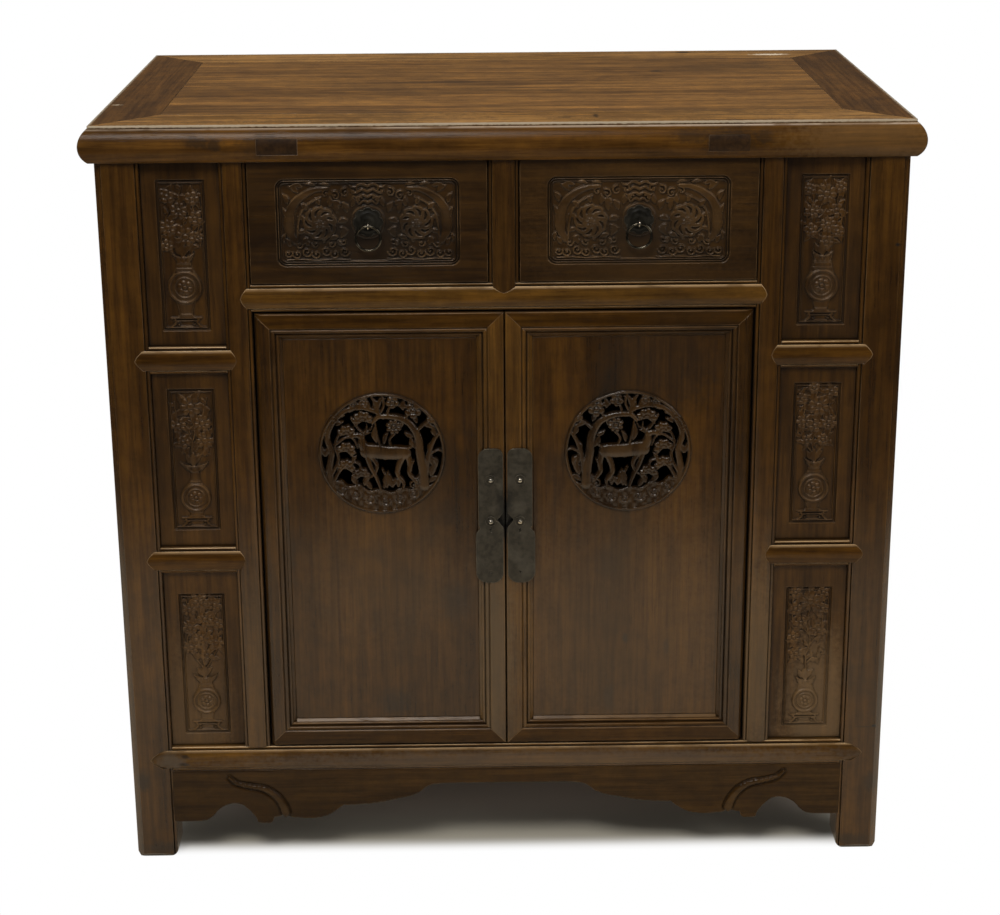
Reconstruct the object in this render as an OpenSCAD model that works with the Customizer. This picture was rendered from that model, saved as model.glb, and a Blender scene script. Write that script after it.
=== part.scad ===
// Low cabinet with two drawers over two doors, a framed top and carved side bays.
// Millimetres. X runs across the front, the front faces -Y, Z is up from the floor.

/* [Overall] */
// Width of the top board over its rounded edges
top_w = 1040; // [990:5:1100]
// Depth of the top board over its rounded edges
top_d = 625; // [570:5:690]
// Height of the top surface above the floor
case_h = 1010; // [970:5:1060]
// Height of the bottom rail's upper edge above the floor
base_h = 168; // [150:2:190]

/* [Top board] */
// Thickness of the top board at its edge
top_t = 46; // [42:1:56]
// Width of the mitred frame members of the top
top_frame_w = 90; // [80:1:104]
// Thickness of the floating panel in the top
top_panel_t = 16; // [14:0.5:20]
// How far the top board stands out past the body
overhang = 14; // [10:1:20]
// Bulge of the rounded edge
edge_bulge = 10; // [6:0.5:13]
// Height of the small fillet above the rounded edge
edge_fillet = 4; // [2:0.5:6]
// Width of the cross battens under the top
batten_w = 50; // [40:1:60]
// Height of the battens' through tenons
batten_h = 20; // [16:0.5:21]
// Distance of each batten from the middle
batten_x = 277; // [220:1:330]

/* [Body frame] */
// Width and depth of each leg
leg_w = 56; // [50:1:62]
// Width of the inner stiles beside the doors
stile_w = 34; // [30:1:40]
// Width of the divider between the drawers
divider_w = 38; // [32:1:44]
// Height of every rail
rail_h = 36; // [32:1:42]
// Depth of rails, stiles and divider from front to back
rail_t = 36; // [32:1:44]
// Open width of each side bay
bay_w = 98; // [88:1:108]
// Open height of the bays' upper panels
upper_panel_h = 237; // [210:1:250]
// Open height of the bays' lower panels
lower_panel_h = 251; // [220:1:270]
// Open height of the drawer row
drawer_open_h = 157; // [140:1:180]
// Rise of the rounded face of each member
crown = 3; // [1.5:0.5:4]
// Width of the bead along each member's edge
bead_w = 5; // [4:0.5:6]
// How far the bead lies behind the rounded face
bead_set = 4; // [3.5:0.25:5]
// Depth of the pointed laps on the rails' ends
lap_t = 12; // [9:0.5:13]
// Reach of the bottom rail's points over the legs
lap_leg = 29; // [18:1:34]
// Reach of the short rails' points over the legs
lap_bay = 18; // [10:1:24]
// Reach of the points that lap over the inner stiles
lap_stile = 13; // [7:0.5:13]
// Share of each lap's reach that runs on at full height before its blunt point
lap_run = 0.45; // [0.2:0.05:0.6]
// Length of the tenons
tenon_l = 20; // [14:1:24]
// Thickness of the tenons
tenon_t = 10; // [8:0.5:12]
// Height of the tenons
tenon_h = 18; // [14:1:19]
// Play at the end of each tenon and tongue
end_play = 0.5; // [0.2:0.1:1]

/* [Feet] */
// Radius that rounds the end of each foot
foot_r = 34; // [32:0.5:40]
// Height of that radius' centre above the floor
foot_z = 30; // [26:0.5:31]

/* [Floating panels] */
// How far the panels lie behind the faces of the frame
panel_set = 11; // [8:0.5:13]
// Thickness of the panels
panel_t = 10; // [8:0.5:12]
// Thickness of the panels' tongues
tongue_t = 5; // [4:0.5:6]
// Length of the panels' tongues
tongue_l = 6; // [5:0.5:7]
// Shrinkage gap at the panels' shoulders
panel_gap = 0.5; // [0.2:0.1:1]
// Width of the margin round each carved field
field_margin = 14; // [10:1:18]
// Height of the relief on the carved panels
relief_h = 3; // [1.5:0.5:4]

/* [Aprons] */
// Height of the front apron at its ends
apron_h = 76; // [64:1:90]
// Height of the side aprons at their ends
side_apron_h = 64; // [54:1:80]
// Thickness of the aprons
apron_t = 16; // [12:1:20]
// How far the aprons lie behind the faces of the legs
apron_set = 4.5; // [4:0.5:8]
// Depth of the slots in the legs that hold the aprons
apron_slot = 6; // [4:0.5:8]
// Height of the tendrils carved on the apron
tendril_h = 2.5; // [1.5:0.5:3.5]

/* [Drawers] */
// Gap round the drawer fronts
drawer_gap = 1.2; // [0.8:0.1:2]
// How far the drawer fronts lie behind the frame
drawer_set = 3; // [1:0.5:5]
// Thickness of the drawer fronts
front_t = 20; // [18:0.5:22]
// Thickness of the drawer sides and backs
side_t = 12; // [9:0.5:14]
// Height of the drawer sides
side_h = 124; // [90:1:130]
// Free room between the drawers and the back rails
drawer_room = 38; // [20:1:110]
// Thickness of the drawer bottoms
bottom_t = 8; // [6:0.5:10]
// Height of the drawer bottoms above the sides' lower edges
bottom_rise = 8; // [6:0.5:12]
// Depth of the grooves that hold the drawer bottoms
bottom_tongue = 5; // [4:0.5:6]
// How far the drawers' backs stand in from the ends of the sides
back_inset = 8; // [5:0.5:12]
// How much lower the drawers' backs are than the sides
back_drop = 10; // [5:1:20]
// Gap between the drawers and their runners
run_gap = 0.3; // [0.2:0.1:0.5]
// Width of the plain border round the drawers' carved field
drawer_border = 35; // [28:1:42]
// Corner radius of the drawers' carved field
field_corner = 16; // [8:1:24]
// Depth of the drawers' carved field
field_sink = 3; // [1.5:0.5:4]

/* [Drawer pulls] */
// Height of the pull's eye above the lower edge of the drawer front
eye_h = 74; // [66:1:84]
// Radius of the round back plates
plate_r = 20; // [17:0.5:24]
// Thickness of the back plates
plate_t = 1.5; // [1.2:0.1:2]
// Middle radius of the ring
ring_r = 15.4; // [13:0.2:18]
// Radius of the ring's wire
ring_wire = 1.7; // [1.4:0.1:2]
// Middle radius of the eye that holds the ring
eye_r = 3.4; // [3.3:0.1:3.8]
// Radius of the eye's wire
eye_wire = 1.2; // [1:0.1:1.3]
// Distance of the eye's centre in front of the drawer front
eye_out = 7; // [6.5:0.1:8]

/* [Doors] */
// Gap between the doors and the frame, and between the doors
door_gap = 1.5; // [1:0.1:2]
// Gap above and below the doors
door_gap_z = 2; // [1.5:0.1:3]
// How far the doors lie behind the frame
door_set = 2; // [1:0.5:3]
// Thickness of the doors, rounded about the pivots at the hinge edge
door_t = 24; // [22:0.5:26]
// Width of the doors' stiles and rails
door_frame_w = 35; // [34:1:42]
// Width of the stepped beads along the doors' inner edge
door_mould_w = 14; // [12:0.5:15]
// How far the door panels lie behind the door frames
door_panel_set = 9; // [8:0.5:9.5]
// Radius of the wooden pivot pins
pin_r = 5; // [4:0.25:6]
// Length of the pivot pins
pin_l = 12; // [9:0.5:14]
// Clearance between each pin and its bore
pin_play = 0.1; // [0.05:0.01:0.1]

/* [Roundels] */
// Radius of the pierced roundels
roundel_r = 82; // [72:1:90]
// Distance of the roundels' middle below the top of the doors
roundel_drop = 189; // [150:1:250]
// Width of the roundels' rim
roundel_rim = 7; // [5:0.5:10]
// How far the roundels stand in front of the door panels
roundel_proud = 4; // [2:0.5:5]
// Width of the lip that laps over the door panel
roundel_lip = 4; // [3:0.5:6]

/* [Lock plates] */
// Height of the lock plates
lock_h = 185; // [160:1:200]
// Height of the lock plates' middle above the bottom of the doors
lock_z = 325; // [280:1:360]
// Width of the lock plates' upper part
lock_w = 32; // [26:0.5:33]
// Thickness of the lock plates
lock_t = 1.6; // [1.2:0.1:2]
// Distance of the lock plates from the edge of the door
lock_edge = 2.2; // [1.5:0.1:3]
// Radius of the studs' heads
stud_r = 4.5; // [3.5:0.25:5.5]
// Distance between the two studs of one plate
stud_gap = 57; // [45:1:70]

/* [Hidden] */
$fn = 96;
slop = 1;

// Levels
slab_z = case_h - top_t;
base_low = base_h - rail_h;
row_z = slab_z - drawer_open_h;
row_low = row_z - rail_h;
bay_high = slab_z - upper_panel_h;
bay_low = base_h + lower_panel_h;

// Places across the front, right half
body_x = top_w / 2 - overhang;
leg_in = body_x - leg_w;
stile_out = leg_in - bay_w;
stile_in = stile_out - stile_w;
front_y = -top_d / 2 + overhang;
side_half = -front_y - leg_w;

// Joints
tenon_y = lap_t + 4;
groove_y = panel_set + panel_t - tongue_t;
groove_d = tongue_l + end_play;

// Openings that hold floating panels: low x, high x, low z, high z
bay_openings = [
    [stile_out, leg_in, bay_high, slab_z],
    [stile_out, leg_in, bay_low + rail_h, bay_high - rail_h],
    [stile_out, leg_in, base_h, bay_low]
];
side_openings = [
    [-side_half, side_half, row_z, slab_z],
    [-side_half, side_half, base_h, row_low]
];
back_openings = [
    [-leg_in, leg_in, row_z, slab_z],
    [-leg_in, leg_in, base_h, row_low]
];

// Doors
door_out = stile_in - door_gap;
door_w = door_out - door_gap / 2;
door_z = base_h + door_gap_z;
door_h = row_low - door_gap_z - door_z;
door_y = front_y + door_set;
pivot_r = door_t / 2;
bore_l = pin_l - door_gap_z + end_play;
roundel_u = door_w / 2;
door_panel_t = tongue_t + 2;
door_groove_v = door_panel_set + door_panel_t - tongue_t;
roundel_z = door_h - roundel_drop;

// Drawers
drawer_in = divider_w / 2 + drawer_gap;
drawer_out = stile_in - drawer_gap;
drawer_w = drawer_out - drawer_in;
drawer_x = (drawer_in + drawer_out) / 2;
drawer_h = drawer_open_h - 2 * drawer_gap;
drawer_z = row_z + drawer_gap;
drawer_y = front_y + drawer_set;
drawer_back = -front_y - rail_t - drawer_room;
drawer_l = drawer_back - drawer_y;
bottom_z = row_z + run_gap + bottom_rise;
box_in = 1;
eye_z = drawer_z + eye_h;
shank_r = 1.8;
plate_z = eye_z + 4;

WOOD = [0.33, 0.22, 0.14];
DARK_WOOD = [0.26, 0.17, 0.11];
WORN_WOOD = [0.52, 0.4, 0.28];
PLAIN_WOOD = [0.42, 0.31, 0.21];
BRASS = [0.42, 0.4, 0.32];

// Points along an arc, with both ends
function arc(middle, r, from, to, steps) = [
    for (i = [0 : steps]) let (a = from + (to - from) * i / steps) middle + r * [cos(a), sin(a)]
];

// Radius of the circle whose arc over span rises by rise
function arc_radius(span, rise) = span * span / (8 * rise) + rise / 2;

// A smooth curve through the points, with steps pieces between each two
function bend(a, b, c, d, t) =
    0.5 * (2 * b + (c - a) * t + (2 * a - 5 * b + 4 * c - d) * t * t + (3 * b - a - 3 * c + d) * t * t * t);
function smooth(p, steps) = concat([
    for (i = [0 : len(p) - 2], k = [0 : steps - 1])
        bend(p[max(i - 1, 0)], p[i], p[i + 1], p[min(i + 2, len(p) - 1)], k / steps)
], [p[len(p) - 1]]);

// Outline of a ribbon along the path, whose width goes from w0 to w1
function heading(p, i) = let (d = p[min(i + 1, len(p) - 1)] - p[max(i - 1, 0)]) d / norm(d);
function ribbon(p, w0, w1) = let (n = len(p) - 1) concat(
    [for (i = [0 : n]) let (h = heading(p, i)) p[i] + [-h[1], h[0]] * (w0 + (w1 - w0) * i / n) / 2],
    [for (j = [0 : n]) let (i = n - j, h = heading(p, i)) p[i] - [-h[1], h[0]] * (w0 + (w1 - w0) * i / n) / 2]
);

// Shows its children as they are, or mirrored to the left side
module on_side(left) {
    mirror([left ? 1 : 0, 0, 0]) children();
}

// Section of a frame member: a rounded face at depth 0 with a bead along each edge
module member_section(w, t, bead_a = true, bead_b = true) {
    a = -w / 2 + (bead_a ? bead_w : 0);
    b = w / 2 - (bead_b ? bead_w : 0);
    r = arc_radius(b - a, crown);
    bead_r = bead_w / 2 - 0.25;
    back = bead_set + bead_w / 2;
    translate([-w / 2, back]) square([w, t - back]);
    intersection() {
        translate([a, 0]) square([b - a, t / 2]);
        translate([(a + b) / 2, r]) circle(r, $fn = 240);
    }
    if (bead_a) translate([-w / 2 + bead_w / 2, back]) circle(bead_r, $fn = 32);
    if (bead_b) translate([w / 2 - bead_w / 2, back]) circle(bead_r, $fn = 32);
}

// Bluntly pointed prism along +X from x = 0, as high as a member's rounded face
module lap_point(w, reach, start, front = 0) {
    half = w / 2 - bead_w;
    run = lap_run * reach;
    knee = [run + 0.72 * (reach - run), 0.42 * half];
    translate([0, lap_t, 0]) rotate([90, 0, 0]) linear_extrude(lap_t - front)
        polygon([
            [start, -half], [run, -half], [knee[0], -knee[1]], [reach, 0],
            [knee[0], knee[1]], [run, half], [start, half],
        ]);
}

// Frame member along +X from x = 0, its face at y = 0, with pointed ends and tenons
module member(w, l, reach_a = 0, reach_b = 0) {
    intersection() {
        translate([-reach_a, 0, 0]) rotate([0, 90, 0]) linear_extrude(l + reach_a + reach_b)
            member_section(w, rail_t);
        union() {
            translate([0, -slop, -w]) cube([l, rail_t + 2 * slop, 2 * w]);
            if (reach_b > 0) translate([l, 0, 0]) lap_point(w, reach_b, -bead_w);
            if (reach_a > 0) mirror([1, 0, 0]) lap_point(w, reach_a, -bead_w);
        }
    }
    translate([-tenon_l, tenon_y, -tenon_h / 2]) cube([l + 2 * tenon_l, tenon_t, tenon_h]);
}

// Room for a member's end that comes in along +X with its shoulder at x = 0
module member_socket(w, reach) {
    if (reach > 0) lap_point(w, reach, -slop, -slop);
    translate([-slop, tenon_y, -tenon_h / 2]) cube([slop + tenon_l + end_play, tenon_t, tenon_h]);
}

// Boxes that reach past the openings by grow, as thick as the panels' tongues
module tongue_boxes(openings, grow) {
    for (o = openings)
        translate([o[0] - grow, groove_y, o[2] - grow])
            cube([o[1] - o[0] + 2 * grow, tongue_t, o[3] - o[2] + 2 * grow]);
}

// Floating panels for the openings, seen from y = 0
module floating_panels(openings) {
    for (o = openings)
        translate([o[0] + panel_gap, panel_set, o[2] + panel_gap])
            cube([o[1] - o[0] - 2 * panel_gap, panel_t, o[3] - o[2] - 2 * panel_gap]);
    tongue_boxes(openings, tongue_l);
}

// Puts children that face -Y at y = 0 on the right side, or on the back
module on_right_side() {
    translate([body_x, 0, 0]) rotate([0, 0, 90]) children();
}
module on_back() {
    translate([0, -front_y, 0]) rotate([0, 0, 180]) children();
}
module on_front() {
    translate([0, front_y, 0]) children();
}

// Top board

// Section of the top's frame: outer edge at x = 0, underside at y = 0
module top_section() {
    span = top_t - edge_fillet;
    r = arc_radius(span, edge_bulge);
    fillet_x = edge_bulge + 1.5;
    translate([fillet_x, 0]) square([top_frame_w - fillet_x, top_t]);
    intersection() {
        square([fillet_x + 4, span]);
        translate([r, span / 2]) circle(r, $fn = 160);
    }
}

// The frame member along the front edge, longer than its mitres
module top_edge_x(l) {
    translate([-l / 2, -top_d / 2, slab_z]) rotate([90, 0, 90]) linear_extrude(l) top_section();
}

module top_edge_y(l) {
    translate([top_w / 2, -l / 2, slab_z]) rotate([90, 0, 180]) linear_extrude(l) top_section();
}

// Tongue on the right end member's front end, let into the front rail behind the mitre
mitre_tongue_z = slab_z + 24;
mitre_tongue_t = 8;
module mitre_tongue(play = 0) {
    far = 76;
    translate([top_w / 2 - far, -top_d / 2 + 28 - play, mitre_tongue_z])
        cube([30, far - 28 + play, mitre_tongue_t]);
}

module top_panel_tongue(grow) {
    x = top_w / 2 - top_frame_w + grow;
    y = top_d / 2 - top_frame_w + grow;
    translate([-x, -y, case_h - top_panel_t + 4]) cube([2 * x, 2 * y, 6]);
}

// Stub on top of each leg, let into the mitred corner
leg_stub = 18;
module leg_stubs(h) {
    for (sx = [-1, 1], sy = [-1, 1])
        translate([sx * (body_x - leg_w / 2) - leg_stub / 2, sy * (front_y + leg_w / 2) - leg_stub / 2,
                   slab_z - slop])
            cube([leg_stub, leg_stub, h + slop]);
}

batten_top = case_h - top_panel_t;
module batten_tenons() {
    for (s = [-1, 1])
        translate([s * batten_x - batten_w / 2, -top_d / 2, batten_top - batten_h])
            cube([batten_w, top_d, batten_h]);
}

module top_front_rail() {
    inner_y = -top_d / 2 + top_frame_w;
    color(WORN_WOOD) difference() {
        intersection() {
            top_edge_x(top_w);
            translate([0, 0, slab_z - slop]) linear_extrude(top_t + 2 * slop)
                polygon([[-top_w / 2, -top_d / 2], [top_w / 2, -top_d / 2],
                         [top_w / 2 - top_frame_w, inner_y], [-top_w / 2 + top_frame_w, inner_y]]);
        }
        top_panel_tongue(groove_d + 2);
        batten_tenons();
        leg_stubs(leg_stub);
        for (left = [false, true]) on_side(left) {
            mitre_tongue(end_play);
            on_front() tongue_boxes(bay_openings, groove_d);
            translate([stile_out - stile_w / 2, front_y, slab_z]) rotate([0, -90, 0])
                member_socket(stile_w, 0);
        }
        translate([0, front_y, slab_z]) rotate([0, -90, 0]) member_socket(divider_w, 0);
    }
}

module top_back_rail() {
    inner_y = top_d / 2 - top_frame_w;
    color(WORN_WOOD) difference() {
        intersection() {
            mirror([0, 1, 0]) top_edge_x(top_w);
            translate([0, 0, slab_z - slop]) linear_extrude(top_t + 2 * slop)
                polygon([[-top_w / 2, top_d / 2], [top_w / 2, top_d / 2],
                         [top_w / 2 - top_frame_w, inner_y], [-top_w / 2 + top_frame_w, inner_y]]);
        }
        top_panel_tongue(groove_d + 2);
        batten_tenons();
        leg_stubs(leg_stub);
        for (left = [false, true]) on_side(left) mirror([0, 1, 0]) mitre_tongue(end_play);
        on_back() tongue_boxes(back_openings, groove_d);
    }
}

module top_end(left) {
    inner_x = top_w / 2 - top_frame_w;
    inner_y = top_d / 2 - top_frame_w;
    color(WORN_WOOD) on_side(left) difference() {
        union() {
            intersection() {
                top_edge_y(top_d);
                translate([0, 0, slab_z - slop]) linear_extrude(top_t + 2 * slop)
                    polygon([[top_w / 2, -top_d / 2], [top_w / 2, top_d / 2], [inner_x, inner_y],
                             [inner_x, -inner_y]]);
            }
            mitre_tongue();
            mirror([0, 1, 0]) mitre_tongue();
        }
        top_panel_tongue(groove_d + 2);
        leg_stubs(leg_stub);
        on_right_side() tongue_boxes(side_openings, groove_d);
    }
}

// Dovetail key on top of each batten, slid into the panel's underside
module batten_keys(l) {
    for (s = [-1, 1])
        translate([s * batten_x, l / 2, batten_top]) rotate([90, 0, 0]) linear_extrude(l)
            polygon([[-13, -slop], [13, -slop], [13, 0], [17, 4], [-17, 4], [-13, 0]]);
}

module top_panel() {
    x = top_w / 2 - top_frame_w - panel_gap;
    y = top_d / 2 - top_frame_w - panel_gap;
    color(WORN_WOOD) difference() {
        union() {
            translate([-x, -y, batten_top]) cube([2 * x, 2 * y, top_panel_t]);
            top_panel_tongue(tongue_l + 2);
        }
        batten_keys(top_d);
    }
}

module top_battens() {
    inner_y = top_d / 2 - top_frame_w;
    body_low = batten_top - batten_h - 2;
    color(DARK_WOOD) {
        for (s = [-1, 1])
            translate([s * batten_x - batten_w / 2, -inner_y, body_low])
                cube([batten_w, 2 * inner_y, batten_top - body_low]);
        batten_keys(2 * (inner_y - panel_gap));
        intersection() {
            batten_tenons();
            union() {
                top_edge_x(top_w);
                mirror([0, 1, 0]) top_edge_x(top_w);
                translate([-top_w / 2, -inner_y - slop, slab_z]) cube([top_w, 2 * (inner_y + slop), top_t]);
            }
        }
    }
}

// Legs

// Section of the front right leg: inner edge at x = 0, front at y = 0
module leg_section() {
    intersection() {
        translate([leg_w / 2, 0]) member_section(leg_w, leg_w, true, false);
        translate([leg_w, leg_w / 2]) rotate([0, 0, 90]) member_section(leg_w, leg_w, false, true);
        translate([0, leg_w]) circle((leg_w - crown) * sqrt(2) - 3.5, $fn = 240);
    }
}

// Outline that rounds the end of a foot, seen from one side
module foot_outline() {
    translate([leg_w / 2, foot_z]) circle(foot_r);
    translate([-slop, foot_z]) square([leg_w + 2 * slop, slab_z]);
}

module leg_blank() {
    intersection() {
        translate([leg_in, front_y, 0]) linear_extrude(slab_z) leg_section();
        translate([leg_in, front_y + leg_w + slop, 0]) rotate([90, 0, 0]) linear_extrude(leg_w + 2 * slop)
            foot_outline();
        translate([leg_in - slop, front_y, 0]) rotate([90, 0, 90]) linear_extrude(leg_w + 2 * slop)
            foot_outline();
    }
}

module apron_box(x0, x1, low) {
    translate([x0, apron_set, low]) cube([x1 - x0, apron_t, base_low - low]);
}

// The front right leg, cut for rails whose middle heights and reaches are listed
module leg(rails, openings, apron_low) {
    difference() {
        leg_blank();
        for (r = rails) translate([leg_in, front_y, r[0]]) member_socket(rail_h, r[1]);
        on_front() tongue_boxes(openings, groove_d);
        if (apron_low > 0) on_front() apron_box(-leg_in, leg_in + apron_slot + end_play, apron_low);
        on_right_side() {
            for (z = [row_z, base_h])
                translate([-side_half, 0, z - rail_h / 2]) mirror([1, 0, 0]) member_socket(rail_h, lap_bay);
            tongue_boxes(side_openings, groove_d);
            apron_box(-side_half - apron_slot - end_play, side_half, side_apron_low);
        }
    }
    intersection() {
        leg_stubs(leg_stub - end_play);
        translate([0, front_y, slab_z - slop]) cube([top_w, top_d / 2, top_t]);
    }
}

module leg_front(left) {
    color(WOOD) on_side(left) leg(
        [[base_h - rail_h / 2, lap_leg], [bay_high - rail_h / 2, lap_bay], [bay_low + rail_h / 2, lap_bay]],
        bay_openings, apron_low
    );
}

module leg_back(left) {
    color(WOOD) on_side(left) mirror([0, 1, 0]) leg(
        [[base_h - rail_h / 2, lap_bay], [row_z - rail_h / 2, lap_bay]], back_openings, 0
    );
}

// Stiles, divider and rails of the front

module inner_stile(left) {
    color(WOOD) on_side(left) difference() {
        translate([stile_out - stile_w / 2, front_y, base_h]) rotate([0, -90, 0])
            member(stile_w, slab_z - base_h);
        translate([stile_in, front_y, row_z - rail_h / 2]) member_socket(rail_h, lap_stile);
        for (z = [bay_high - rail_h / 2, bay_low + rail_h / 2])
            translate([stile_out, front_y, z]) mirror([1, 0, 0]) member_socket(rail_h, lap_stile);
        on_front() tongue_boxes(bay_openings, groove_d);
    }
}

// Bores for the doors' pivot pins, upward or downward from the opening's edge
module pivot_bores(up) {
    for (s = [-1, 1])
        translate([s * (door_out - pivot_r), door_y + pivot_r, up ? row_low - slop : base_h - bore_l])
            cylinder(h = bore_l + slop, r = pin_r + pin_play);
}

module drawer_rail() {
    color(WOOD) difference() {
        translate([-stile_in, front_y, row_z - rail_h / 2])
            member(rail_h, 2 * stile_in, lap_stile, lap_stile);
        translate([0, front_y, row_z]) rotate([0, 90, 0]) member_socket(divider_w, lap_stile);
        pivot_bores(true);
    }
}

module drawer_divider() {
    color(WOOD) translate([0, front_y, slab_z]) rotate([0, 90, 0])
        member(divider_w, drawer_open_h, 0, lap_stile);
}

module bottom_rail() {
    color(WOOD) difference() {
        translate([-leg_in, front_y, base_h - rail_h / 2]) member(rail_h, 2 * leg_in, lap_leg, lap_leg);
        for (left = [false, true]) on_side(left) {
            translate([stile_out - stile_w / 2, front_y, base_h]) rotate([0, 90, 0])
                member_socket(stile_w, 0);
            on_front() tongue_boxes(bay_openings, groove_d);
        }
        pivot_bores(false);
    }
}

module short_rails(left) {
    color(WOOD) on_side(left) difference() {
        for (z = [bay_high - rail_h / 2, bay_low + rail_h / 2])
            translate([stile_out, front_y, z]) member(rail_h, bay_w, lap_stile, lap_bay);
        on_front() tongue_boxes(bay_openings, groove_d);
    }
}

// Carved panels of the side bays: a double line frame and a vase of flowers on a stand

function vase_side(h) = smooth([
    [7, 0], [7, 5], [4, 9], [11, 16], [19, 28], [20, 38], [15, 50], [7, 60], [5, 72], [6, 84], [10, 92]
] * h / 92, 2);

module vase(h) {
    side = vase_side(h);
    polygon(concat(side, [for (i = [len(side) - 1 : -1 : 0]) [-side[i][0], side[i][1]]]));
}

module stand(w) {
    translate([-w / 2, 9]) square([w, 4]);
    for (s = [-1, 1]) translate([s * (w / 2 - 3), 0]) polygon([[-3, 0], [3, 0], [2, 9.5], [-2, 9.5]]);
}

module blossom(r) {
    for (a = [0 : 72 : 359]) rotate(a) translate([r * 0.6, 0]) circle(r * 0.42, $fn = 16);
    circle(r * 0.4, $fn = 16);
}

// Stems and blossoms that rise h above the vase's mouth, in a field w wide
module bouquet(w, h) {
    polygon(ribbon(smooth([[0, 0], [-2, h * 0.3], [3, h * 0.6], [0, h * 0.82]], 3), 3, 2));
    polygon(ribbon(smooth([[0, h * 0.1], [-w * 0.12, h * 0.3], [-w * 0.26, h * 0.45]], 3), 2.4, 1.6));
    polygon(ribbon(smooth([[0, h * 0.2], [w * 0.14, h * 0.42], [w * 0.26, h * 0.62]], 3), 2.4, 1.6));
    translate([0, h * 0.84]) blossom(w * 0.16);
    translate([-w * 0.28, h * 0.5]) blossom(w * 0.13);
    translate([w * 0.27, h * 0.68]) blossom(w * 0.13);
}

module carved_panel(left, row) {
    o = bay_openings[row];
    w = o[1] - o[0] - 2 * field_margin;
    h = o[3] - o[2] - 2 * (field_margin + 4);
    line = 1.5;
    vase_h = h * 0.44;
    color(DARK_WOOD) on_side(left) on_front() {
        difference() {
            floating_panels([o]);
            translate([(o[0] + o[1] - w) / 2, panel_set - slop, (o[2] + o[3] - h) / 2])
                cube([w, slop + relief_h, h]);
        }
        translate([(o[0] + o[1]) / 2, panel_set + relief_h + slop, (o[2] + o[3] - h) / 2])
            rotate([90, 0, 0]) linear_extrude(relief_h + slop - 0.4) {
                difference() {
                    translate([-w / 2 + 2, 2]) square([w - 4, h - 4]);
                    translate([-w / 2 + 2 + line, 2 + line]) square([w - 4 - 2 * line, h - 4 - 2 * line]);
                }
                translate([0, 3]) stand(w * 0.6);
                translate([0, 15]) vase(vase_h);
                translate([0, 14 + vase_h]) bouquet(w - 8, h - vase_h - 22);
            }
    }
}

// Aprons

// Lower edge of the front apron, from the right leg to the middle, drawn for ends 76 high
apron_low = base_low - apron_h;
apron_scale = apron_h / 76;
apron_rise = 53.5;
apron_edge = apron_scale * [
    [[0, 0], [-20, 0], [-40, 1], [-50, 7], [-60, 18], [-73, 25], [-88, 25], [-99, 17], [-109, 4], [-111, -3]],
    [[-111, -3], [-119, -4], [-130, -3], [-133, 5]],
    [[-133, 5], [-142, 6], [-153, 5]],
    [[-153, 5], [-172, 3], [-190, 3], [-207, 7], [-218, 14], [-228, 22]],
    [[-228, 22], [-250, 22.5], [-275, 25], [-300, 30], [-318, 34], [-331, 39]],
    [[-331, 39], [-340, 47], [-353, 52], [-380, 53], [-420, apron_rise]]
];
// The side aprons are drawn for ends 64 high
side_apron_low = base_low - side_apron_h;
side_scale = side_apron_h / 64;

// Half of the front apron, with the tendril carved above its leaf
module front_apron_half() {
    edge = [for (s = apron_edge, p = smooth(s, 2)) if (p != s[0]) p];
    body = concat(
        [[leg_in + apron_slot, apron_low], [leg_in, apron_low]],
        [for (p = edge) if (p[0] + leg_in > slop) [leg_in + p[0], apron_low + p[1]]],
        [[0, apron_low + apron_scale * apron_rise], [0, base_low], [leg_in + apron_slot, base_low]]
    );
    stem = [for (p = smooth([[-75, 61], [-88, 52], [-108, 49], [-128, 43], [-143, 30], [-151, 12]], 3))
        [leg_in, apron_low] + apron_scale * p];
    translate([0, apron_set + apron_t, 0]) rotate([90, 0, 0]) linear_extrude(apron_t) polygon(body);
    translate([0, apron_set + slop, 0]) rotate([90, 0, 0]) linear_extrude(slop + tendril_h)
        polygon(ribbon(stem, 3 * apron_scale, 12 * apron_scale));
}

module front_apron() {
    color(WOOD) on_front() for (left = [false, true]) on_side(left) front_apron_half();
}

module side_apron(left) {
    end = side_half + apron_slot;
    rise = 34;
    low = side_apron_low;
    edge = smooth([[0, 0], [-24, 1], [-52, 20], [-84, 20], [-120, rise]], 3);
    right = [for (p = edge) [side_half, low] + side_scale * p];
    shape = concat([[end, base_low], [end, low]], right,
                   [for (i = [len(right) - 1 : -1 : 0]) [-right[i][0], right[i][1]]],
                   [[-end, low], [-end, base_low]]);
    color(WOOD) on_side(left) on_right_side()
        translate([0, apron_set + apron_t, 0]) rotate([90, 0, 0]) linear_extrude(apron_t) polygon(shape);
}

// Sides, back and floor

module side_rails(left) {
    color(WOOD) on_side(left) on_right_side() difference() {
        for (z = [row_z, base_h])
            translate([-side_half, 0, z - rail_h / 2]) member(rail_h, 2 * side_half, lap_bay, lap_bay);
        tongue_boxes(side_openings, groove_d);
    }
}

module side_panels(left) {
    color(WOOD) on_side(left) on_right_side() floating_panels(side_openings);
}

module back_rails() {
    color(WOOD) on_back() difference() {
        for (z = [row_z, base_h])
            translate([-leg_in, 0, z - rail_h / 2]) member(rail_h, 2 * leg_in, lap_bay, lap_bay);
        tongue_boxes(back_openings, groove_d);
    }
}

module back_panels() {
    color(PLAIN_WOOD) on_back() floating_panels(back_openings);
}

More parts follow.
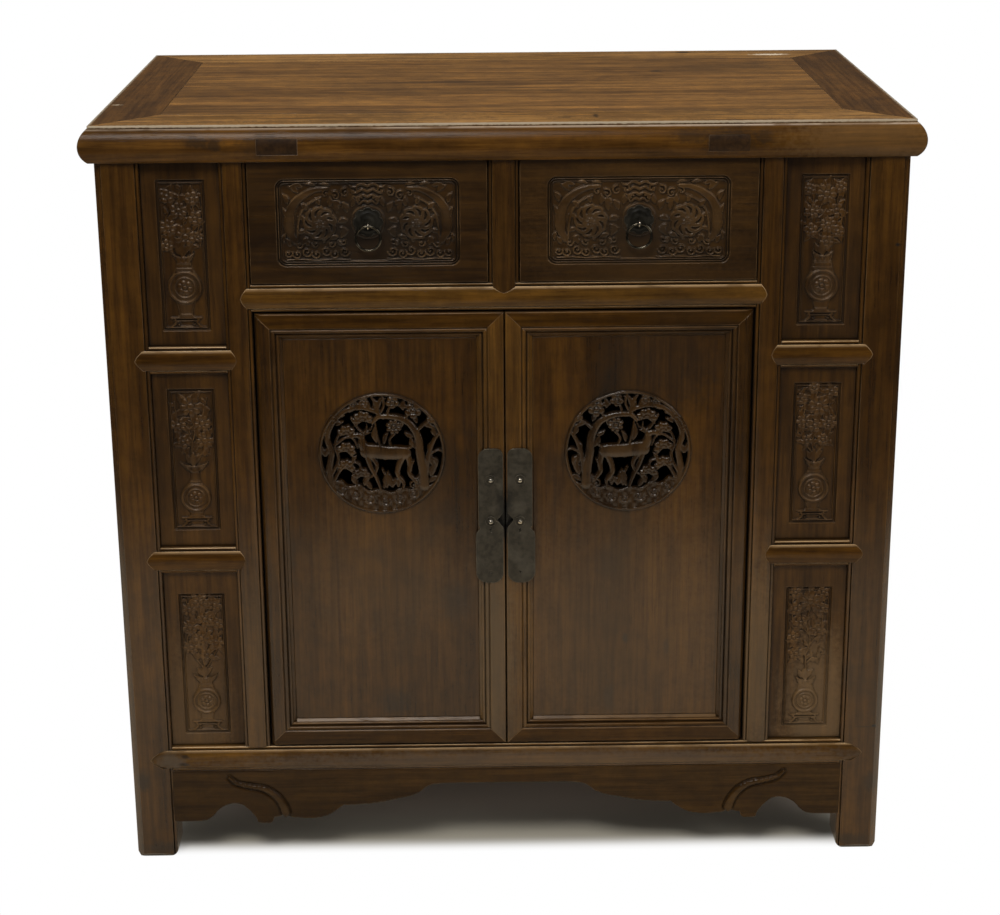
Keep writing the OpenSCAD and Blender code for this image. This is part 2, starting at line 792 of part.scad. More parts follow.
// Planks that lie on the bottom rails. The front edge stops the doors.
floor_t = 14;
floor_front = door_y + door_t + end_play;
module floor_board() {
    inner_x = body_x - panel_set - panel_t - panel_gap;
    inner_y = -front_y - panel_set - panel_t - panel_gap;
    rail_y = front_y + rail_t + panel_gap;
    leg_y = side_half - panel_gap;
    outline = [
        [stile_in - slop, floor_front], [stile_in - slop, rail_y], [leg_in - slop, rail_y],
        [leg_in - slop, -leg_y], [inner_x, -leg_y], [inner_x, leg_y], [leg_in - slop, leg_y],
        [leg_in - slop, inner_y]
    ];
    shape = concat(outline, [for (i = [len(outline) - 1 : -1 : 0]) [-outline[i][0], outline[i][1]]]);
    planks = 3;
    plank_w = (inner_y - floor_front) / planks;
    seam = 0.4;
    color(PLAIN_WOOD) for (k = [0 : planks - 1]) intersection() {
        translate([0, 0, base_h]) linear_extrude(floor_t) polygon(shape);
        translate([-body_x, floor_front + k * plank_w + (k > 0 ? seam : 0), base_h])
            cube([2 * body_x, plank_w - (k > 0 ? seam : 0), floor_t]);
    }
}

// Runners from the drawer rail to the back rail, with guide strips beside the drawers
runner_h = 24;
guide_h = 14;
module drawer_runners() {
    y = front_y + rail_t;
    l = -2 * y;
    bearing = 18;
    outer_w = 30;
    color(PLAIN_WOOD) {
        for (left = [false, true]) on_side(left) {
            translate([stile_in - bearing, y, row_z - runner_h]) cube([outer_w, l, runner_h]);
            translate([drawer_out, y, row_z - slop])
                cube([stile_in - bearing + outer_w - drawer_out, l, guide_h + slop]);
        }
        translate([-drawer_in - bearing, y, row_z - runner_h]) cube([2 * (drawer_in + bearing), l, runner_h]);
        translate([-drawer_in, y, row_z - slop]) cube([2 * drawer_in, l, guide_h + slop]);
    }
}

// Drawers

// Rounded rectangle, centred, in which each corner is an arc
module rounded_field(w, h, r) {
    polygon(concat(
        arc([w / 2 - r, h / 2 - r], r, 0, 90, 6), arc([-w / 2 + r, h / 2 - r], r, 90, 180, 6),
        arc([-w / 2 + r, -h / 2 + r], r, 180, 270, 6), arc([w / 2 - r, -h / 2 + r], r, 270, 360, 6)
    ));
}

module drawer_front(left) {
    field_w = drawer_w - 2 * drawer_border;
    field_h = drawer_h - 2 * (drawer_border - 12);
    color(WOOD) on_side(left) difference() {
        translate([drawer_in, drawer_y, drawer_z]) cube([drawer_w, front_t, drawer_h]);
        translate([drawer_x, drawer_y + field_sink, drawer_z + drawer_h / 2]) rotate([90, 0, 0])
            linear_extrude(field_sink + slop) difference() {
                rounded_field(field_w, field_h, field_corner);
                translate([0, plate_z - drawer_z - drawer_h / 2]) circle(plate_r + 1);
            }
        translate([drawer_in + box_in + side_t - bottom_tongue, drawer_y + front_t - bottom_tongue - end_play,
                   bottom_z])
            cube([drawer_w - 2 * (box_in + side_t - bottom_tongue), front_t, bottom_t]);
        translate([drawer_x, drawer_y - slop, eye_z]) rotate([-90, 0, 0])
            cylinder(h = front_t + 2 * slop, r = shank_r + pin_play, $fn = 32);
    }
}

// Two sides and the back, with a groove for the bottom
module drawer_box(left) {
    y0 = drawer_y + front_t;
    l = drawer_l - front_t;
    z0 = row_z + run_gap;
    color(PLAIN_WOOD) on_side(left) difference() {
        union() {
            for (x = [drawer_in + box_in, drawer_out - box_in - side_t])
                translate([x, y0, z0]) cube([side_t, l, side_h]);
            translate([drawer_in + box_in + side_t, drawer_back - side_t - back_inset, z0])
                cube([drawer_w - 2 * (box_in + side_t), side_t, side_h - back_drop]);
        }
        translate([drawer_in + box_in + side_t - bottom_tongue - end_play, y0 - slop, bottom_z])
            cube([drawer_w - 2 * (box_in + side_t - bottom_tongue - end_play), l - back_inset + slop,
                  bottom_t]);
    }
}

module drawer_bottom(left) {
    y0 = drawer_y + front_t - bottom_tongue;
    x0 = drawer_in + box_in + side_t - bottom_tongue;
    color(PLAIN_WOOD) on_side(left) translate([x0, y0, bottom_z])
        cube([drawer_w - 2 * (box_in + side_t - bottom_tongue), drawer_back - back_inset - y0, bottom_t]);
}

// Round back plate with a scalloped edge, on the drawer front
module pull_plate(left) {
    petals = 8;
    color(BRASS) on_side(left) translate([drawer_x, drawer_y, plate_z]) rotate([90, 0, 0]) difference() {
        union() {
            cylinder(h = plate_t, r = plate_r - 2.5);
            for (k = [0 : petals - 1]) rotate((k + 0.5) * 360 / petals)
                translate([plate_r - 4, 0, 0]) cylinder(h = plate_t, r = 4, $fn = 32);
        }
        translate([0, eye_z - plate_z, -slop])
            cylinder(h = plate_t + 2 * slop, r = shank_r + pin_play, $fn = 32);
    }
}

// Split pin: an eye in front of the plate, a shank through the front, two legs bent out behind it
module pull_staple(left) {
    leg_l = 11;
    leg_t = 1.4;
    color(BRASS) on_side(left) translate([drawer_x, drawer_y, eye_z]) {
        translate([0, -eye_out, 0]) rotate([0, 90, 0]) rotate_extrude($fn = 48)
            translate([eye_r, 0]) circle(eye_wire, $fn = 24);
        translate([0, -eye_out + eye_r, 0]) rotate([-90, 0, 0])
            cylinder(h = eye_out - eye_r + front_t + leg_t / 2, r = shank_r, $fn = 32);
        translate([-leg_l, front_t, -1.5]) cube([2 * leg_l, leg_t, 3]);
    }
}

module pull_ring(left) {
    color(BRASS) on_side(left) translate([drawer_x, drawer_y - eye_out, eye_z - ring_r]) rotate([90, 0, 0])
        rotate_extrude($fn = 96) translate([ring_r, 0]) circle(ring_wire, $fn = 24);
}

// Doors. Their own frame has the hinge edge at x = 0, the face at y = 0 and the bottom at z = 0.

module on_door(left) {
    on_side(!left) translate([-door_out, door_y, door_z]) children();
}

// Section of a door member, outer edge at x = 0, with two stepped beads at the inner edge
module door_section(pivot_edge) {
    flat = door_frame_w - door_mould_w;
    b1 = door_mould_w * 0.4;
    b2 = door_mould_w * 0.34;
    step = b1 / 2 + door_panel_set * 0.36;
    edge = pivot_edge
        ? arc([pivot_r, pivot_r], pivot_r, 90, 270, 14)
        : [[0, door_t], [0, 2], [0.6, 0.6], [2, 0]];
    polygon(concat(
        edge,
        [[flat - 1.5, 0], [flat, 1.5]],
        arc([flat + b1 / 2, b1 / 2], b1 / 2, 180, 360, 6),
        arc([flat + b1 + b2 / 2, step], b2 / 2, 180, 360, 5),
        [[door_frame_w, door_panel_set], [door_frame_w, door_t]]
    ));
}

// Groove for the panel's tongue, or the tongue itself when it grows less
module door_tongue(grow) {
    translate([door_frame_w - grow, door_groove_v, door_frame_w - grow])
        cube([door_w - 2 * (door_frame_w - grow), tongue_t, door_h - 2 * (door_frame_w - grow)]);
}

// Tenons of the door's rails, hidden behind the mitres, or their mortises with some play
door_tenon_edge = 10;
door_tenon_t = 8;
module door_tenons(play) {
    high = door_frame_w - groove_d - door_tenon_edge - end_play;
    for (z = [door_tenon_edge, door_h - door_tenon_edge - high])
        for (x = [door_tenon_edge - play, door_w - door_frame_w - slop])
            translate([x, door_groove_v + slop, z])
                cube([door_frame_w - door_tenon_edge + slop + play, door_tenon_t, high]);
}

// Only the face of the door's frame is mitred. Behind it the stiles run through to their ends.
mitre_t = door_panel_set - 2.5;
module mitred_face() {
    translate([0, mitre_t, 0]) rotate([90, 0, 0]) linear_extrude(mitre_t + slop) children();
}

module door_stile_blank(pivot_edge) {
    w = door_frame_w;
    intersection() {
        linear_extrude(door_h) door_section(pivot_edge);
        union() {
            mitred_face() polygon([[0, 0], [w, w], [w, door_h - w], [0, door_h]]);
            translate([0, mitre_t, 0]) cube([w, door_t, door_h]);
        }
    }
}

module door_rail_blank() {
    w = door_frame_w;
    intersection() {
        translate([door_w, 0, 0]) rotate([0, -90, 0]) linear_extrude(door_w) door_section(false);
        union() {
            mitred_face() polygon([[0, 0], [door_w, 0], [door_w - w, w], [w, w]]);
            translate([w, mitre_t, 0]) cube([door_w - 2 * w, door_t, w]);
        }
        linear_extrude(door_h) polygon(concat(
            arc([pivot_r, pivot_r], pivot_r, 90, 270, 14), [[door_w, 0], [door_w, door_t]]
        ));
    }
}

module hinge_stile(left) {
    color(WOOD) on_door(left) {
        difference() {
            door_stile_blank(true);
            door_tongue(groove_d);
            door_tenons(end_play);
        }
        for (z = [-pin_l, door_h - slop])
            translate([pivot_r, pivot_r, z]) cylinder(h = pin_l + slop, r = pin_r);
    }
}

module door_rails(left) {
    color(WOOD) on_door(left) difference() {
        union() {
            door_rail_blank();
            translate([0, 0, door_h]) mirror([0, 0, 1]) door_rail_blank();
            door_tenons(0);
        }
        door_tongue(groove_d);
    }
}

module door_panel(left) {
    inset = door_frame_w + panel_gap;
    color(DARK_WOOD) on_door(left) difference() {
        union() {
            translate([inset, door_panel_set, inset])
                cube([door_w - 2 * inset, door_panel_t, door_h - 2 * inset]);
            door_tongue(tongue_l);
        }
        translate([roundel_u, 0, roundel_z]) rotate([-90, 0, 0])
            cylinder(h = door_t, r = roundel_r - roundel_lip, $fn = 160);
    }
}

// Pierced roundels: a deer under a tree, on rocks, in a double rim

// Deer that faces left, with its middle at the origin
module deer() {
    polygon(ribbon(smooth([[-20, 0], [-8, -1], [8, 0], [24, 3], [32, -2]], 3), 19, 16));
    polygon(ribbon(smooth([[-15, 0], [-22, 10], [-27, 24]], 3), 14, 7));
    polygon(ribbon([[-23, 25], [-32, 27], [-41, 23]], 10, 4));
    polygon(ribbon(smooth([[-26, 28], [-20, 36], [-22, 46]], 3), 3, 2));
    for (leg = [[-19, -18], [-8, -6], [20, 13], [30, 33]])
        polygon(ribbon(smooth([[leg[0], -4], [leg[0] + 3, -26], [leg[1], -50]], 3), 7, 4));
}

module leafy_tree() {
    leaf = 11;
    trunk = [[54, -44], [53, -20], [50, 2], [46, 27], [30, 47], [4, 49], [-22, 44], [-48, 40]];
    polygon(ribbon(smooth(trunk, 3), 11, 5));
    polygon(ribbon(smooth([[52, -12], [60, 10], [66, 24]], 3), 6, 5));
    for (p = [[64, 22], [56, 42], [40, 58], [20, 64], [-2, 66], [-24, 62], [-44, 52], [-58, 38], [-64, 18],
              [28, 30], [12, 38], [-38, 32], [-54, 2], [-60, -18]])
        translate(p) rotate(atan2(p[1], p[0])) circle(leaf - 1, $fn = 10);
    polygon(ribbon(smooth([[-56, 20], [-60, -4], [-52, -28], [-46, -48]], 3), 7, 6));
}

module rocks() {
    polygon(concat(
        [[75, -75], [-75, -75]],
        smooth([[-75, -38], [-58, -40], [-46, -48], [-34, -42], [-16, -50], [4, -46], [22, -50], [40, -40],
                [56, -42], [75, -36]], 2)
    ));
}

module roundel(left) {
    hole_r = roundel_r - roundel_lip;
    inner_r = hole_r - roundel_rim;
    front = door_panel_set - roundel_proud;
    back = door_panel_set + door_panel_t;
    figure_t = 8;
    color(DARK_WOOD) on_door(left) translate([roundel_u, 0, roundel_z]) {
        rotate([-90, 0, 0]) rotate_extrude($fn = 160) polygon([
            [inner_r, back], [inner_r, front + 1], [inner_r + 1, front],
            [inner_r + roundel_rim * 0.55, front], [inner_r + roundel_rim * 0.7, front + 1.2],
            [inner_r + roundel_rim * 0.85, front], [roundel_r - 1.5, front], [roundel_r, front + 1.5],
            [roundel_r, door_panel_set], [hole_r - end_play, door_panel_set], [hole_r - end_play, back]
        ]);
        translate([0, back - 1, 0]) rotate([90, 0, 0]) linear_extrude(figure_t) intersection() {
            circle(inner_r + 1.5, $fn = 160);
            scale_to = inner_r / 71;
            scale([scale_to, scale_to]) {
                deer();
                leafy_tree();
                rocks();
            }
        }
    }
}

// Lock plates at the doors' meeting edges

// Studs of one plate, and their shanks in the stile
stud_shank = 12;
stud_top = 42;
module stud_places() {
    for (z = [0, -stud_gap])
        translate([door_w - lock_edge - lock_w / 2, -lock_t, lock_z + lock_h / 2 - stud_top + z]) children();
}

// Half of the diamond cut across the two meeting edges
module keyhole(depth) {
    low = lock_z - 5;
    translate([door_w, depth, low]) rotate([90, 0, 0]) linear_extrude(depth + lock_t + slop)
        polygon([[-10, 0], [slop, 14], [slop, -14]]);
}

// Outline of a plate, from its meeting edge at x = 0 and its lower end at y = 0
module lock_outline() {
    lobe = 3.5;
    shoulder = lock_h * 0.41;
    w = lock_w;
    polygon(concat(
        arc([14, 14], 14, 180, 270, 6), arc([w + lobe - 15, 15], 15, 270, 360, 6),
        [[w + lobe, shoulder - 12], [w + lobe - 1, shoulder - 5], [w - 2.5, shoulder], [w, shoulder + 4]],
        arc([w - 12, lock_h - 12], 12, 0, 90, 5), arc([9, lock_h - 9], 9, 90, 180, 5)
    ));
}

module lock_stile(left) {
    color(WOOD) on_door(left) difference() {
        translate([door_w, 0, 0]) mirror([1, 0, 0]) door_stile_blank(false);
        door_tongue(groove_d);
        door_tenons(end_play);
        keyhole(6);
        stud_places() rotate([-90, 0, 0])
            cylinder(h = stud_shank + end_play, r = shank_r + pin_play, $fn = 32);
    }
}

module lock_plate(left) {
    color(BRASS) on_door(left) difference() {
        translate([door_w - lock_edge, 0, lock_z - lock_h / 2]) mirror([1, 0, 0]) rotate([90, 0, 0])
            linear_extrude(lock_t) lock_outline();
        keyhole(slop);
        stud_places() rotate([-90, 0, 0]) {
            translate([0, 0, -slop]) cylinder(h = lock_t + 2 * slop, r = shank_r + pin_play, $fn = 32);
            translate([0, stud_gap + 14, -slop]) cylinder(h = lock_t + 2 * slop, r = 1.2, $fn = 24);
        }
    }
}

module lock_studs(left) {
    color(BRASS) on_door(left) stud_places() rotate([90, 0, 0]) rotate_extrude($fn = 48) polygon([
        [0, -stud_shank], [shank_r, -stud_shank], [shank_r, 0], [stud_r + 2, 0], [stud_r + 2, 0.6],
        [stud_r + 1, 1.2], [stud_r - 0.6, 1.4], [stud_r, 2.2], [stud_r - 0.2, 3.4], [stud_r - 1.4, 4.6],
        [stud_r - 3, 5.2], [0, 5.3]
    ]);
}

top_front_rail();
top_back_rail();
top_end(true);  // top_end_left
top_end(false);  // top_end_right
top_panel();
top_battens();
leg_front(true);  // leg_front_left
leg_front(false);  // leg_front_right
leg_back(true);  // leg_back_left
leg_back(false);  // leg_back_right
inner_stile(true);  // inner_stile_left
inner_stile(false);  // inner_stile_right
drawer_rail();
drawer_divider();
bottom_rail();
short_rails(true);  // short_rails_left
short_rails(false);  // short_rails_right
carved_panel(true, 0);  // carved_panel_left_upper
carved_panel(true, 1);  // carved_panel_left_middle
carved_panel(true, 2);  // carved_panel_left_lower
carved_panel(false, 0);  // carved_panel_right_upper
carved_panel(false, 1);  // carved_panel_right_middle
carved_panel(false, 2);  // carved_panel_right_lower
front_apron();
side_apron(true);  // side_apron_left
side_apron(false);  // side_apron_right
side_rails(true);  // side_rails_left
side_rails(false);  // side_rails_right
side_panels(true);  // side_panels_left
side_panels(false);  // side_panels_right
back_rails();
back_panels();
floor_board();
drawer_runners();
drawer_front(true);  // drawer_front_left
drawer_box(true);  // drawer_box_left
drawer_bottom(true);  // drawer_bottom_left
pull_plate(true);  // pull_plate_left
pull_staple(true);  // pull_staple_left
pull_ring(true);  // pull_ring_left
drawer_front(false);  // drawer_front_right
drawer_box(false);  // drawer_box_right
drawer_bottom(false);  // drawer_bottom_right
pull_plate(false);  // pull_plate_right
pull_staple(false);  // pull_staple_right
pull_ring(false);  // pull_ring_right
hinge_stile(true);  // hinge_stile_left
lock_stile(true);  // lock_stile_left
door_rails(true);  // door_rails_left
door_panel(true);  // door_panel_left
roundel(true);  // roundel_left
lock_plate(true);  // lock_plate_left
lock_studs(true);  // lock_studs_left
hinge_stile(false);  // hinge_stile_right
lock_stile(false);  // lock_stile_right
door_rails(false);  // door_rails_right
door_panel(false);  // door_panel_right
roundel(false);  // roundel_right
lock_plate(false);  // lock_plate_right
lock_studs(false);  // lock_studs_right
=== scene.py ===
import math

import bpy
import numpy as np
from mathutils import Matrix, Vector


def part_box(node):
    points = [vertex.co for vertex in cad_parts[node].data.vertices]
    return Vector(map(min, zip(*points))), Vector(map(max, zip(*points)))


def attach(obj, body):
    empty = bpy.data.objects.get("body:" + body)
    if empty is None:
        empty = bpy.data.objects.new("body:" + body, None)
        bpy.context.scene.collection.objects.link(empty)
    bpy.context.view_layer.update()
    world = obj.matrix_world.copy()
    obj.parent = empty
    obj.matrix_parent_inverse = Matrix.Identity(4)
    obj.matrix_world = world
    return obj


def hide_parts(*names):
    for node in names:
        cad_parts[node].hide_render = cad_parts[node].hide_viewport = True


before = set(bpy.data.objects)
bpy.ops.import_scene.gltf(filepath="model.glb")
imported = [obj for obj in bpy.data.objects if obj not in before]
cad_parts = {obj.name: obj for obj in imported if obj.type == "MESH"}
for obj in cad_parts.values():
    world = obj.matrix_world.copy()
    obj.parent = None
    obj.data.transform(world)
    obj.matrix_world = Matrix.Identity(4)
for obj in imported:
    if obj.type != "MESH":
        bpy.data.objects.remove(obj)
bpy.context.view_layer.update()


# The view: a long lens almost square to the front, a little above the top board. The numbers come
# from the lines of the photograph, and the lens looks slightly down past its own middle.

eye = Vector((-0.0365, -2.8588, 1.4600))
turn, tilt, roll = math.radians(0.6813), math.radians(17.481), math.radians(0.3896)
ahead = Vector((math.sin(turn) * math.cos(tilt), math.cos(turn) * math.cos(tilt), -math.sin(tilt)))
level = Vector((math.cos(turn), -math.sin(turn), 0))
down = ahead.cross(level)
right = math.cos(roll) * level + math.sin(roll) * down
up = math.sin(roll) * level - math.cos(roll) * down

camera = bpy.data.objects.new("camera", bpy.data.cameras.new("camera"))
camera.data.lens = 75.795
camera.data.sensor_width = 36
camera.data.shift_y = -0.0575
camera.data.clip_end = 100
camera.matrix_world = Matrix.Translation(eye) @ Matrix((right, up, -ahead)).transposed().to_4x4()
bpy.context.scene.collection.objects.link(camera)
bpy.context.scene.camera = camera
bpy.context.scene.view_settings.view_transform = "Standard"


# The room: white paper under the cabinet, clean white to the camera except for a painted shadow where the
# cabinet stands over it, a dim room in reflections, a soft lamp overhead, one high in front and a small one
# on the right.


def put(tree, kind, wires=(), **settings):
    """One node of a finish, with its settings by name and its inputs as values or as outputs of others."""
    made = tree.nodes.new("ShaderNode" + kind)
    for name, value in settings.items():
        setattr(made, name, value)
    for socket, source in dict(wires).items():
        if isinstance(source, bpy.types.NodeSocket):
            tree.links.new(source, made.inputs[socket])
        else:
            made.inputs[socket].default_value = source
    return made


def spread(tree, value, low, high, to_low=0.0, to_high=1.0):
    """The value spread from the range low to high over to_low to to_high, and held at the ends."""
    wires = {0: value, 1: low, 2: high, 3: to_low, 4: to_high}
    return put(tree, "MapRange", wires, interpolation_type="SMOOTHSTEP").outputs[0]


def sum_of(tree, operation, a, b):
    """Two values, or outputs of nodes, brought together by the operation named."""
    return put(tree, "Math", {0: a, 1: b}, operation=operation).outputs[0]


def tint(tree, share, under, over, how="MIX"):
    """The colour under, covered with the colour over as far as share says."""
    return put(tree, "Mix", {0: share, 6: under, 7: over}, data_type="RGBA", blend_type=how).outputs[2]


paper_r, paper_sides = 1.7, 96
paper_mesh = bpy.data.meshes.new("paper")
headings = np.linspace(0, 2 * math.pi, paper_sides, endpoint=False)
paper_edge = [(math.cos(a) * paper_r, math.sin(a) * paper_r, 0) for a in headings]
paper_mesh.from_pydata(paper_edge, [], [list(range(paper_sides))])
paper = bpy.data.objects.new("paper", paper_mesh)
bpy.context.scene.collection.objects.link(paper)

# The paper has a painted shadow under the cabinet, which clears just outside its feet, and is clean white
# from there on.
PAPER_WHITE = (0.97, 0.97, 0.965, 1)
shade_middle, shade_half, shade_fades = (0, 0.012, 0), (0.445, 0.247, 1), 0.055
white_paper = bpy.data.materials.new("white_paper")
white_paper.use_nodes = True
t = white_paper.node_tree
t.nodes.clear()
where = put(t, "TexCoord").outputs["Object"]
far = spread(t, put(t, "VectorMath", {0: where}, operation="LENGTH").outputs["Value"], 0.95, 1.45)
seen = put(t, "LightPath").outputs["Is Camera Ray"]
past = put(t, "VectorMath", {0: where, 1: shade_middle}, operation="SUBTRACT").outputs[0]
past = put(t, "VectorMath", {0: past}, operation="ABSOLUTE").outputs[0]
past = put(t, "VectorMath", {0: past, 1: shade_half}, operation="SUBTRACT").outputs[0]
past = put(t, "VectorMath", {0: past, 1: (0, 0, 0)}, operation="MAXIMUM").outputs[0]
past = put(t, "VectorMath", {0: past}, operation="LENGTH").outputs["Value"]
clear = spread(t, past, 0.0, shade_fades)
clear = sum_of(t, "MULTIPLY", clear, clear)
depth_in = put(t, "SeparateXYZ", {0: where}).outputs["Y"]
# Painted shadow: to the camera the paper is darker under the cabinet, most towards its front edge, and it
# keeps its own shading there too.
shade = tint(t, spread(t, depth_in, -0.13, -0.225), (0.62, 0.56, 0.49, 1), (0.35, 0.33, 0.28, 1))
under = tint(t, clear, shade, PAPER_WHITE)
mirrored = put(t, "LightPath").outputs["Is Glossy Ray"]
# In reflections the paper is painted warm near the cabinet and dark further out, which sets what the varnish
# reflects.
paper_end = spread(t, depth_in, -1.38, -1.56)
reflected = tint(t, paper_end, (0.90, 0.80, 0.64, 1), (0.03, 0.03, 0.03, 1))
lit = tint(t, mirrored, PAPER_WHITE, reflected)
matte = put(t, "BsdfDiffuse", {"Color": tint(t, seen, lit, under)}).outputs[0]
glow = put(t, "Emission", {"Color": (1, 1, 1, 1), "Strength": 1.0}).outputs[0]
white_share = sum_of(t, "MULTIPLY", sum_of(t, "MAXIMUM", far, clear), seen)
both = put(t, "MixShader", {0: white_share, 1: matte, 2: glow}).outputs[0]
put(t, "OutputMaterial", {"Surface": both})
paper_mesh.materials.append(white_paper)

room_light = 0.42
room = bpy.data.worlds.new("room")
room.use_nodes = True
bpy.context.scene.world = room
t = room.node_tree
t.nodes.clear()
path = put(t, "LightPath").outputs
aim = put(t, "SeparateXYZ", {0: put(t, "TexCoord").outputs["Generated"]}).outputs
behind = spread(t, aim["Y"], 0.15, 0.55, 0.03, 0.07)
mirrored = sum_of(t, "MAXIMUM", path["Is Glossy Ray"], path["Is Transmission Ray"])
wall = put(t, "Background", {"Color": (1, 1, 1, 1), "Strength": 1.0}).outputs[0]
dim_wall = put(t, "Background", {"Color": (1, 0.93, 0.82, 1), "Strength": behind}).outputs[0]
walls = put(t, "Background", {"Color": (1, 0.985, 0.96, 1), "Strength": room_light}).outputs[0]
walls = put(t, "MixShader", {0: mirrored, 1: walls, 2: dim_wall}).outputs[0]
walls = put(t, "MixShader", {0: path["Is Camera Ray"], 1: walls, 2: wall}).outputs[0]
put(t, "OutputWorld", {"Surface": walls})

# Each lamp: where it hangs, what it points at, its width and height, and its power in watts.
lamps = {
    "overhead_lamp": ((0.1, 0.35, 3.1), (0, 0, 1.0), (2.4, 1.6), 30),
    "front_lamp": ((-0.6, -2.3, 3.1), (0, -0.3, 0.5), (1.4, 0.9), 84),
    "side_lamp": ((2.4, -1.8, 1.9), (0.1, 0, 0.5), (1.1, 1.4), 20),
}
for name, (place, target, size, power) in lamps.items():
    lamp = bpy.data.objects.new(name, bpy.data.lights.new(name, "AREA"))
    lamp.data.shape = "RECTANGLE"
    lamp.data.size, lamp.data.size_y = size
    lamp.data.energy = power
    lamp.data.color = (1, 0.97, 0.92)
    lamp.location = place
    lamp.rotation_euler = (Vector(target) - Vector(place)).to_track_quat("-Z", "Y").to_euler()
    bpy.context.scene.collection.objects.link(lamp)


# Legs, stiles and divider: square posts of a close brown hardwood with a rounded face and a bead
# along each edge, their grain upright. The old varnish is thin on the arrises and greyer near the floor.


def drawn_out(tree, along, across_m, along_m, shift=0.0):
    """Places for a pattern that repeats across_m times in a metre, and along_m times along the grain."""
    size = [across_m, across_m, across_m]
    size["XYZ".index(along)] = along_m
    place = put(tree, "TexCoord").outputs["Object"]
    return put(tree, "Mapping", {0: place, 1: (shift, shift * 1.7, shift * 0.6), 3: size}).outputs[0]


def clouds(tree, place, detail=2.0, rough=0.5, warp=0.0):
    """An uneven cloudy value from 0 to 1 at each place."""
    wires = {"Vector": place, "Scale": 1.0, "Detail": detail, "Roughness": rough, "Distortion": warp}
    return put(tree, "TexNoise", wires).outputs["Fac"]


def blemish(tree, place, colour, at, size, over, share):
    """A ragged mark round a place on the piece, size being how far it reaches each way."""
    off = put(tree, "VectorMath", {0: place, 1: at}, operation="SUBTRACT").outputs[0]
    off = put(tree, "VectorMath", {0: off, 1: size}, operation="DIVIDE").outputs[0]
    away = put(tree, "VectorMath", {0: off}, operation="LENGTH").outputs["Value"]
    ragged = clouds(tree, put(tree, "Mapping", {0: place, 3: (190, 190, 190)}).outputs[0], 3, 0.6)
    return tint(tree, spread(tree, sum_of(tree, "ADD", away, ragged), 1.5, 0.8, 0.0, share), colour, over)


